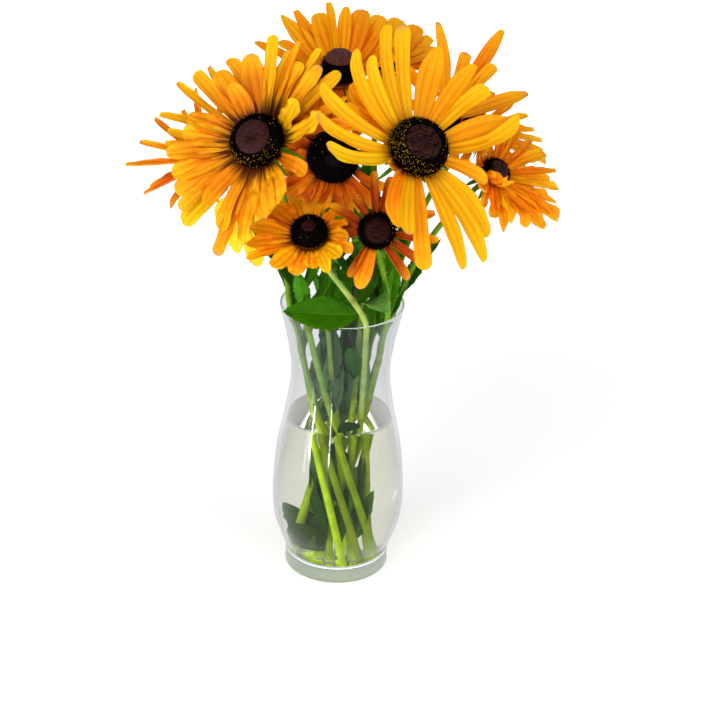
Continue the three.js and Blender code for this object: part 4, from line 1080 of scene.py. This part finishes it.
def cap_shape(bloom, r, h, dice):
    """The cap of the cone, whose florets have not opened: a dome over the cone's profile up to
    the cap's share of the radius. Waves crossing at many angles wrinkle it, with painted light on
    their crests and painted shade in their troughs; an optional crease runs from the middle to the
    upper right and is coloured paler, and its edge turns down. Painted shade darkens the dimple in
    its middle."""
    radius = bloom["cone"][0]
    share, colour, dimple = bloom["cap"]
    wrinkle, crease = bloom.get("wrinkle", (0.1, 0.0))
    ring = share * radius * np.sqrt(np.linspace(0.0004, 1, CAP_GRID[0]))
    turn = circle(CAP_GRID[1])
    order = np.argsort(r)
    X, Y = ring[:, None] * np.cos(turn), ring[:, None] * np.sin(turn)
    Z = np.interp(ring, r[order], h[order])[:, None] + np.zeros(len(turn))
    waves = np.zeros_like(X)
    for pitch in CAP_WAVES:
        a, b = dice.uniform(0, TURN, 2)
        bent = 0.8 * np.sin(pitch * 0.6 * (X * math.sin(a) - Y * math.cos(a)) + b)
        waves = waves + np.sin(pitch * (X * math.cos(a) + Y * math.sin(a)) + bent + b)
    spread = (ring / ring[-1])[:, None]
    inside = 1 - ease(0.75, 1.0, spread)
    line = np.exp(-(((X - Y) / 1.0) ** 2)) * (X + Y > -0.5) * (1 - ease(0.3, 0.65, spread))
    Z = Z + wrinkle * waves * inside + 0.3 - 0.8 * ease(0.7, 1.0, spread) - crease * line
    marks = ring_marks(*CAP_GRID, colour)
    marks[..., 1] = min(1, 4 * wrinkle)
    marks[..., 3] = 1
    # painted light on the wrinkles' crests and painted shade in their troughs; the crease line is also
    # coloured paler
    pale = 1 + 0.1 * waves * inside + 0.9 * (crease > 0) * line
    # painted shade darkens the dimple in the middle of the cap
    dimple_shade = min(dimple, 1) * 0.6 * np.exp(-((ring / (0.2 * radius)) ** 2))
    marks[..., 4:7] = colour * np.clip(pale, 0.35, 2.2)[..., None] * (1 - dimple_shade[:, None, None])
    rings = np.stack([X, Y, Z], axis=-1)
    under = rings[-1:] - [0, 0, 1.5]
    return skin(np.concatenate([rings, under]), np.concatenate([marks, marks[-1:]]))


def cone_shape(bloom, spacing, pollen, dice):
    """The cone: a dark core, a cap, and outside the cap disc florets set in a golden spiral, so
    that each has the same area. They are spikes that lean towards the front, longest at the rim,
    and some carry a grain of pollen."""
    radius, height = bloom["cone"]
    cap_share, _, dimple = bloom["cap"]
    r, h = cone_profile(radius, height, dimple)
    seat, low, top = r[0] - CORE_INSET, RECEPTACLE_HALF, h[0] + 0.4
    core = [
        turned(profile, CORE_SIDES, FLORET_BLACK * 0.8) for profile in (
            np.stack([np.maximum(r - CORE_INSET, POLE), h - 0.25], axis=1)[::10],
            [(POLE, low), (seat, low), (seat, top), (POLE, top)],
        )
    ]
    steps = np.hypot(np.diff(r), np.diff(h))
    area = np.concatenate([[0], np.cumsum(TURN * (r[1:] + r[:-1]) / 2 * steps)])
    count = int(area[-1] / (0.87 * spacing**2))
    wanted = area[-1] * (1 - (np.arange(count) + 0.5) / count)
    radius_at, height_at = np.interp(wanted, area, r), np.interp(wanted, area, h)
    steep = np.hypot(np.gradient(r), np.gradient(h))
    slope_r, slope_h = (np.interp(wanted, area, np.gradient(line) / steep) for line in (r, h))
    turn = np.arange(count) * GOLDEN_ANGLE
    outwards = np.stack([np.cos(turn), np.sin(turn)], axis=1)
    shade = dice.uniform(0.65, 1.3, (count, 1))
    cap = cap_shape(bloom, r, h, dice)

    side = ~((radius_at < cap_share * radius) & (height_at > 0.5 * height))
    count = side.sum()
    normal = np.concatenate([slope_h[:, None] * outwards, -slope_r[:, None]], axis=1)[side]
    places = np.concatenate([radius_at[:, None] * outwards, height_at[:, None]], axis=1)[side]
    rim = 1 - ease(0.0, 0.55, (height_at[side] - h[0]) / (height - h[0]))
    lean = normal + 0.3 * UP + 0.25 * dice.standard_normal((count, 3))
    tall = 1 + 0.8 * (dice.random((count, 1)) < 0.3)
    long = (1.1 + 1.1 * rim[:, None]) * dice.uniform(0.75, 1.2, (count, 1)) * tall
    thick = spacing * (0.6 - 0.2 * rim[:, None]) / np.sqrt(tall)
    spikes = copies(turned([(0.5, 0.0), (0.03, 1.0)], 4), places - CORE_INSET * normal, lean,
                    np.concatenate([thick, thick, long], axis=1), FLORET_BLACK * shade[side])

    where, dense = pollen
    seen = np.cos(turn[side] - math.radians(90 - where))
    chance = dense * (0.12 + 0.88 * ease(-0.2, 0.8, seen)) * (1 - ease(0.0, 0.25, rim))
    dusty = dice.random(count) < chance
    lean = lean[dusty]
    heads = places[dusty] + lean / np.linalg.norm(lean, axis=1, keepdims=True) * (long[dusty] - 0.3)
    sizes = dice.uniform(0.34, 0.58, (len(heads), 1)) * [1, 1, 1.0]
    colours = POLLEN_YELLOW * dice.uniform(0.6, 1.2, (len(heads), 1))
    grains = copies(turned([(0.26, -0.44), (0.48, 0.0), (0.26, 0.44)], 4), heads, lean, sizes, colours)
    return joined([*core, cap, spikes, grains])


def bract_shape(start, clock, length, width, bend, colour, dice):
    """One pointed bract: a lance-shaped blade with a keel, bent back from the cup along an arc."""
    T, S = np.meshgrid(np.linspace(0, 1, BRACT_GRID[0]), np.linspace(-1, 1, BRACT_GRID[1]), indexing="ij")
    share = np.sqrt(np.clip(T + 0.3, 0, 1)) * np.clip(1 - T, 0, 1) ** 0.7 * 1.15
    keel = (0.5 * np.abs(S) - 0.6) * share * width / 5
    curl = math.radians(dice.normal(-14, 8))
    middle, sideways, upward = curled_line(T, start, length, math.radians(bend), curl, clock)
    half = 0.3 * rounded(S) * (1 - 0.8 * T)
    sheets = [laid(middle, width / 2 * share * S, sideways, keel + sign * half, upward) for sign in (1, -1)]
    return two_sided(*sheets, blade_marks(T, S, dice.random(), colour * dice.uniform(0.75, 1.2)))


def bracts_shape(bloom, dice):
    """The green cup behind the plate, with two whorls of bracts: one from its edge, and a shorter
    one further in, whose bracts lie over the gaps of the first."""
    top = -RECEPTACLE_HALF - PART_GAP
    root = ROOT_SHARE * bloom["cone"][0]
    t = np.linspace(0, 1, 12)
    wall_out = CUP_NECK + (root - CUP_NECK) * np.sin(t * math.pi / 2) ** 0.8
    wall_up = top - CUP_DEPTH + (CUP_DEPTH - CUP_EDGE) * t**1.6
    profile = [(POLE, top - CUP_DEPTH), *zip(wall_out, wall_up), (root, top), (POLE, top)]
    parts = [turned(profile, 36, GREEN_BRACT)]
    count = round(root / BRACT_PITCH) + BRACT_EXTRA
    for whorl, draw in zip(BRACT_WHORLS, (dice, np.random.default_rng(INNER_BRACT_SEED + count))):
        shift, (out, least), down, (longest, varies, pace), widths, further, shade = whorl
        start = (max(out * root, least) - 2, top - down - 1.0)
        for i in range(count):
            clock = TURN * (i + shift) / count
            length = longest + varies * math.sin(pace * i)
            bend, colour = bloom["bracts"] + further, GREEN_BRACT * shade
            parts.append(bract_shape(start, clock, length, draw.uniform(*widths), bend, colour, draw))
    return joined(parts)


# ---- Leaves ----

def kept_inside(points, most):
    """Points that reach past the inner face of the glass, or further out than the most, are pulled
    in. Above the rim the limit widens three times as fast as the height grows."""
    outline = smooth_outline()
    rise = np.maximum(points[:, 2] - VASE_HEIGHT, 0)
    limit = np.interp(points[:, 2], outline[:, 1], outline[:, 0]) - VASE_WALL - WALL_CLEARANCE
    limit = np.minimum(limit, most) + 3 * rise
    reach = np.maximum(np.hypot(points[:, 0], points[:, 1]) / limit, 0.01)
    bent = np.where(reach > 0.9, 0.9 + 0.1 * np.tanh((reach - 0.9) / 0.1), reach)
    return points * np.stack([bent / reach, bent / reach, np.ones(len(points))], axis=1)


def leaf_frame(stem, share, out, heads, roll):
    """Where a leaf leaves its stem, and the directions ahead, across and above its blade."""
    path = stem_path(BLOOMS[stem])
    spot = share * (len(path) - 1)
    index = int(spot)
    tangent = path[index + 1] - path[index]
    start = path[index] + tangent * (spot - index)
    tangent /= np.linalg.norm(tangent)
    azimuth, elevation = (math.radians(v) for v in heads)
    flat = math.cos(elevation)
    ahead = np.array([math.cos(azimuth) * flat, math.sin(azimuth) * flat, math.sin(elevation)])
    level = np.cross(ahead, UP)
    level /= np.linalg.norm(level)
    across = level * math.cos(roll) + np.cross(ahead, level) * math.sin(roll)
    away = ahead - tangent * (ahead @ tangent)
    away /= np.linalg.norm(away)
    return start + away * out, ahead, across, np.cross(across, ahead)


def leaf_shape(leaf, colour, dice, grid):
    """One leaf. Its stalk starts at its stem, and its midrib droops along an arc. The blade is an
    oval with a pointed tip and forward-pointing teeth, folded up at the midrib, sunk along the
    side veins, and buckled in waves that grow towards the edge."""
    stem, (up, out), heads, roll, (length, width), droop, teeth, buckle = leaf
    root, ahead, across, above = leaf_frame(stem, up, out, heads, math.radians(roll))
    stalk = (out - 0.8 * STEM_RADIUS) / length
    T, S = np.meshgrid(np.linspace(-stalk, 1, grid[0]), np.linspace(-1, 1, grid[1]), indexing="ij")
    side = np.abs(S)
    share = 0.1 + 0.9 * np.sin(math.pi * np.clip(T, 0, 1) ** 0.8)
    share = share * (1 - 0.9 * ease(0.94, 1.0, T))
    saw = np.mod(T * teeth + 0.5, 1.0)
    share = share * (1 + 0.16 * (saw - 0.5) * ease(0.08, 0.25, T) * (1 - ease(0.85, 0.95, T)) * side**4)
    vein = np.abs(np.mod(T * SIDE_VEINS[0] - side * SIDE_VEINS[1], 1.0) - 0.5)
    relief = -0.35 * np.exp(-((vein / 0.12) ** 2)) * ease(0.05, 0.2, side)
    relief = relief - 0.5 * np.exp(-((side / 0.07) ** 2))
    phase = dice.uniform(0, 6.28, 3)
    waves = np.sin(9 * T + phase[0]) + 0.5 * np.sin(19 * T + phase[1] + 2 * np.sign(S))
    buckled = buckle * side**2 * waves * ease(0.0, 0.3, T)
    half = width / 2 * share
    k = math.radians(droop) + 1e-4
    bow = np.cos(k * T)[..., None] * above - np.sin(k * T)[..., None] * ahead
    middle = laid(root, length * np.sin(k * T) / k, ahead, -(length * (np.cos(k * T) - 1) / k), above)
    midrib = 0.5 * np.exp(-((side / 0.1) ** 2)) * (1 - 0.8 * T)
    thick = (0.24 * rounded(S) + midrib) * (1 - 0.6 * T)
    rise = 0.25 * half * side - 0.35 * (1 - side) + (relief + buckled) * share
    sheets = [laid(middle, half * S, across, rise + sign * thick, bow) for sign in (0.5, -1)]
    sheets[0][:, [0, -1]] = (sheets[0][:, [0, -1]] + sheets[1][:, [0, -1]]) / 2
    return two_sided(*sheets, blade_marks(np.clip(T, 0, 1), S, dice.random(), colour))


# ---- Vase and water ----

def smooth_outline():
    """Radius and height at even steps of a uniform Catmull-Rom curve through the vase's outline."""
    knots = np.array(VASE_OUTLINE, float)
    spot = np.linspace(0, len(knots) - 1, OUTLINE_STEPS)
    index = np.minimum(spot.astype(int), len(knots) - 2)
    t = (spot - index)[:, None]
    before, here = knots[np.maximum(index - 1, 0)], knots[index]
    there, after = knots[index + 1], knots[np.minimum(index + 2, len(knots) - 1)]
    leave, arrive = (there - before) / 2, (after - here) / 2
    return (2 * here - 2 * there + leave + arrive) * t**3 + (
        -3 * here + 3 * there - 2 * leave - arrive) * t**2 + leave * t + here


def arc(centre, radius, start, stop, count):
    """Points on a circle from one angle to another, in degrees."""
    angle = np.radians(np.linspace(start, stop, count))
    return np.stack([centre[0] + radius * np.cos(angle), centre[1] + radius * np.sin(angle)], axis=1)


def floor_line(lift):
    """The dished floor from its edge to the axis, lifted by a little."""
    return [(max(share * FOOT_RADIUS, POLE), VASE_FLOOR - depth + lift) for share, depth in FLOOR_DISH]


def floor_corner(radius, lift, start, stop):
    """The round corner where the floor meets a wall of a radius."""
    centre = (radius - FLOOR_CORNER, VASE_FLOOR + lift + FLOOR_CORNER)
    return arc(centre, FLOOR_CORNER, start, stop, 12)


def vase_shape():
    """The vase: its foot's rounded edge, the outside, a round lip, the inside one wall further in,
    and the rounded floor of the thick foot."""
    outside = smooth_outline()
    foot = arc((FOOT_RADIUS, FOOT_ROUND), FOOT_ROUND, -90, -12, 8)
    lip = arc((outside[-1, 0] - LIP_ROUND, VASE_HEIGHT - LIP_ROUND), LIP_ROUND, 0, 180, 13)
    inside = outside[outside[:, 1] > VASE_FLOOR + WALL_START][-2::-1]
    thinner = (VASE_WALL - 2 * LIP_ROUND) * ease(LIP_FROM, VASE_HEIGHT - 2, inside[:, 1])
    inside = np.stack([inside[:, 0] - (VASE_WALL - thinner), inside[:, 1]], axis=1)
    corner = floor_corner(inside[-1, 0], 0, 0, -90)
    underside = [(POLE, 0.0), (FOOT_RADIUS * FLOOR_DISH[0][0], 0.0)]
    profile = np.concatenate([underside, foot, outside, lip, inside, corner, floor_line(0)])
    return turned(profile, VASE_SIDES)


def water_shape():
    """The water: it stands a hair inside the glass and climbs the wall in a small meniscus at the
    top."""
    outside = smooth_outline()
    wall = VASE_WALL + WATER_GAP
    raised = (outside[:, 1] > VASE_FLOOR + WALL_START) & (outside[:, 1] < WATER_LEVEL)
    inside = outside[raised] - [wall, 0]
    corner = floor_corner(inside[0, 0], WATER_GAP, -90, 0)
    climb, width = MENISCUS
    top = float(np.interp(WATER_LEVEL + climb, outside[:, 1], outside[:, 0])) - wall
    reach = np.linspace(0, 1, 8)
    meniscus = np.stack([top - width * reach, WATER_LEVEL + climb * (1 - reach) ** 2.4], axis=1)
    surface = [(top * 0.5, WATER_LEVEL), (POLE, WATER_LEVEL)]
    floor = floor_line(WATER_LIFT)[::-1]
    return turned(np.concatenate([floor, corner, inside, meniscus, surface]), VASE_SIDES)


# ---- Putting the pieces together ----

def build_blooms(petals, florets, caps, greens):
    """All twelve blooms with their stems. Each bloom has its own fixed seed."""
    for number, (name, bloom) in enumerate(BLOOMS.items()):
        dice = np.random.default_rng(BLOOM_SEED + number)
        basis, origin = bloom_frame(bloom)
        detail = FINE if name in FRONT_BLOOMS else PLAIN
        rays = [
            ray_shape(ray, RAY_TONES[tone], bloom, detail["grid"], dice)
            for ray, tone in zip(bloom["rays"], bloom["tones"])
        ]
        rays.append(plate_shape(bloom, RAY_TONES["d"] * 0.4))
        cone = cone_shape(bloom, detail["spacing"], POLLEN.get(name, POLLEN_ELSEWHERE), dice)
        bracts = bracts_shape(bloom, dice)
        colour = STEM_COLOURS.get(name, GREEN_STEM) * dice.uniform(0.7, 1.15)
        stem, path, side, other = stem_shape(bloom, colour, dice)
        stalk = joined([stem, stem_hairs(path, side, other, dice)])
        rays, cone, bracts = (shape.moved(basis, origin) for shape in (joined(rays), cone, bracts))
        make_piece(f"{name}_petals", rays, petals, "rays", f"{name}_rays")
        make_piece(f"{name}_disc", cone, florets, "florets", f"{name}_cone", second=caps)
        make_piece(f"{name}_cup", bracts, greens, "bracts", f"{name}_bracts")
        make_piece(f"{name}_stalk", stalk, greens, "stems", f"{name}_stem")


def build_leaves(leaf_green):
    """The leaves, each with its own colour and seed, and the narrow ones in four pieces."""
    for number, (name, leaf) in enumerate(LEAVES.items()):
        dice = np.random.default_rng(LEAF_SEED + number)
        blade = leaf_shape(leaf, LEAF_COLOURS.get(name, GREEN_LEAF), dice, LEAF_GRID)
        make_piece(f"{name}_blade", blade, leaf_green, "leaves", name)
    for number, (name, leaves) in enumerate(NARROW_LEAVES.items()):
        dice = np.random.default_rng(NARROW_SEED + number)
        blades = []
        for leaf in leaves:
            stem, up, azimuth, elevation, roll, length, width, droop = (*leaf, 0)[:8]
            leaf = (stem, (up, NARROW_OUT), (azimuth, elevation), roll, (length, width), droop,
                    NARROW_TEETH, NARROW_BUCKLE)
            blade = leaf_shape(leaf, LEAF_COLOURS[name] * dice.uniform(0.4, 1.7), dice, NARROW_GRID)
            blade.points = kept_inside(blade.points, BUNCH_RADIUS.get(name, VASE_HEIGHT))
            blades.append(blade)
        make_piece(name, joined(blades), leaf_green, "leaves")


def build_vase():
    """The glass and the water in it."""
    glass = vase_shape()
    glass.marks[:, 3] = glass.points[:, 2] < 0.01
    make_piece("vase_glass", glass, glass_material(), "vase_glass", "vase", second=underside_material())
    make_piece("vase_water", water_shape(), water_material(), "water", "water")


# ---- Floor, light and camera ----

CAMERA_AT = (11.7, -1125, 702)
CAMERA_PITCH = 26.5               # degrees below the horizon
CAMERA_ROLL = 1.7
CAMERA_LENS = 102.9               # millimetres on a sensor 36 wide
FLOOR_HALF, FLOOR_Z = 6.0, -0.0002  # metres
HORIZON_GREY, OVERHEAD_WHITE, OVERHEAD_FROM = (0.36, 0.38, 0.42, 1), (1.0, 1.0, 1.0, 1), 0.75
SKY_STRENGTH = 0.55
BACKDROP_WHITE = (0.9, 0.91, 0.92)

# soft lamps: place and target, width and height, all in metres, and power in watts
LAMPS = {
    "window": ((-1.0, -1.5, 1.25), (0, 0, 0.2), (1.0, 1.0), 19),
    "fill": ((1.5, -1.1, 0.9), (0, 0, 0.2), (1.2, 1.2), 13),
    "streak": ((-0.13, -0.46, 0.05), (0, 0, 0.05), (0.014, 0.1), 0.34),
    "pane": ((-0.40, -0.31, 0.05), (0, 0, 0.05), (0.04, 0.1), 0.9),
}


def build_floor():
    """A wide white floor under the vase."""
    mesh = bpy.data.meshes.new("floor")
    corners = [(x * FLOOR_HALF, y * FLOOR_HALF, 0) for x, y in ((-1, -1), (1, -1), (1, 1), (-1, 1))]
    mesh.from_pydata(corners, [], [(0, 1, 2, 3)])
    mesh.materials.append(floor_material())
    floor = bpy.data.objects.new("floor", mesh)
    floor.location.z = FLOOR_Z
    bpy.context.scene.collection.objects.link(floor)


def build_sky():
    """Soft surrounding light: white overhead and greyer towards the horizon, so that the glass
    has something darker to bend and mirror. Seen straight, it is a plain pale backdrop."""
    world = bpy.data.worlds.new("studio_sky")
    bpy.context.scene.world = world
    n = Nodes(world, "Background")
    direction = n.add("ShaderNodeTexCoord", output="Generated")
    ramp = n.add("ShaderNodeValToRGB", {0: n.add("ShaderNodeSeparateXYZ", {0: direction}, "Z")})
    low, high = ramp.socket.node.color_ramp.elements
    low.position, low.color = 0.0, HORIZON_GREY
    high.position, high.color = OVERHEAD_FROM, OVERHEAD_WHITE
    n.plug(n.shader.inputs["Color"], ramp)
    n.plug(n.shader.inputs["Strength"], SKY_STRENGTH)
    backdrop = n.add("ShaderNodeBackground", {"Color": BACKDROP_WHITE})
    seen = n.met_by()["Is Camera Ray"]
    n.show(n.mixed_shader(seen, Value(n, n.shader.outputs[0]), backdrop), output="World Output")


def build_lamps():
    """Soft rectangular lights, each aimed at its target."""
    for name, (place, target, size, power) in LAMPS.items():
        lamp = bpy.data.lights.new(name, "AREA")
        lamp.shape, lamp.size, lamp.size_y, lamp.energy = "RECTANGLE", *size, power
        holder = bpy.data.objects.new(name, lamp)
        holder.location = place
        holder.rotation_euler = (Vector(target) - Vector(place)).to_track_quat("-Z", "Y").to_euler()
        holder.visible_camera = False
        bpy.context.scene.collection.objects.link(holder)


def build_camera():
    """The camera: it looks along +Y, pitched down and rolled a little."""
    pitch, roll = math.radians(CAMERA_PITCH), math.radians(CAMERA_ROLL)
    level, ahead = Vector((1, 0, 0)), Vector((0, math.cos(pitch), -math.sin(pitch)))
    upright = Vector((0, math.sin(pitch), math.cos(pitch)))
    right = level * math.cos(roll) + upright * math.sin(roll)
    up = upright * math.cos(roll) - level * math.sin(roll)
    lens = bpy.data.cameras.new("camera")
    lens.lens, lens.sensor_width = CAMERA_LENS, 36
    lens.clip_start, lens.clip_end = 0.01, 50
    camera = bpy.data.objects.new("camera", lens)
    turn = Matrix((right, up, -ahead)).transposed().to_4x4()
    camera.matrix_world = Matrix.Translation(Vector(CAMERA_AT) * MM) @ turn
    bpy.context.scene.collection.objects.link(camera)
    bpy.context.scene.camera = camera


build_camera()
build_blooms(petal_material(), cone_material(), cap_material(), green_material())
build_leaves(leaf_material())
build_vase()
build_floor()
build_sky()
build_lamps()
bpy.context.scene.view_settings.view_transform = "Standard"
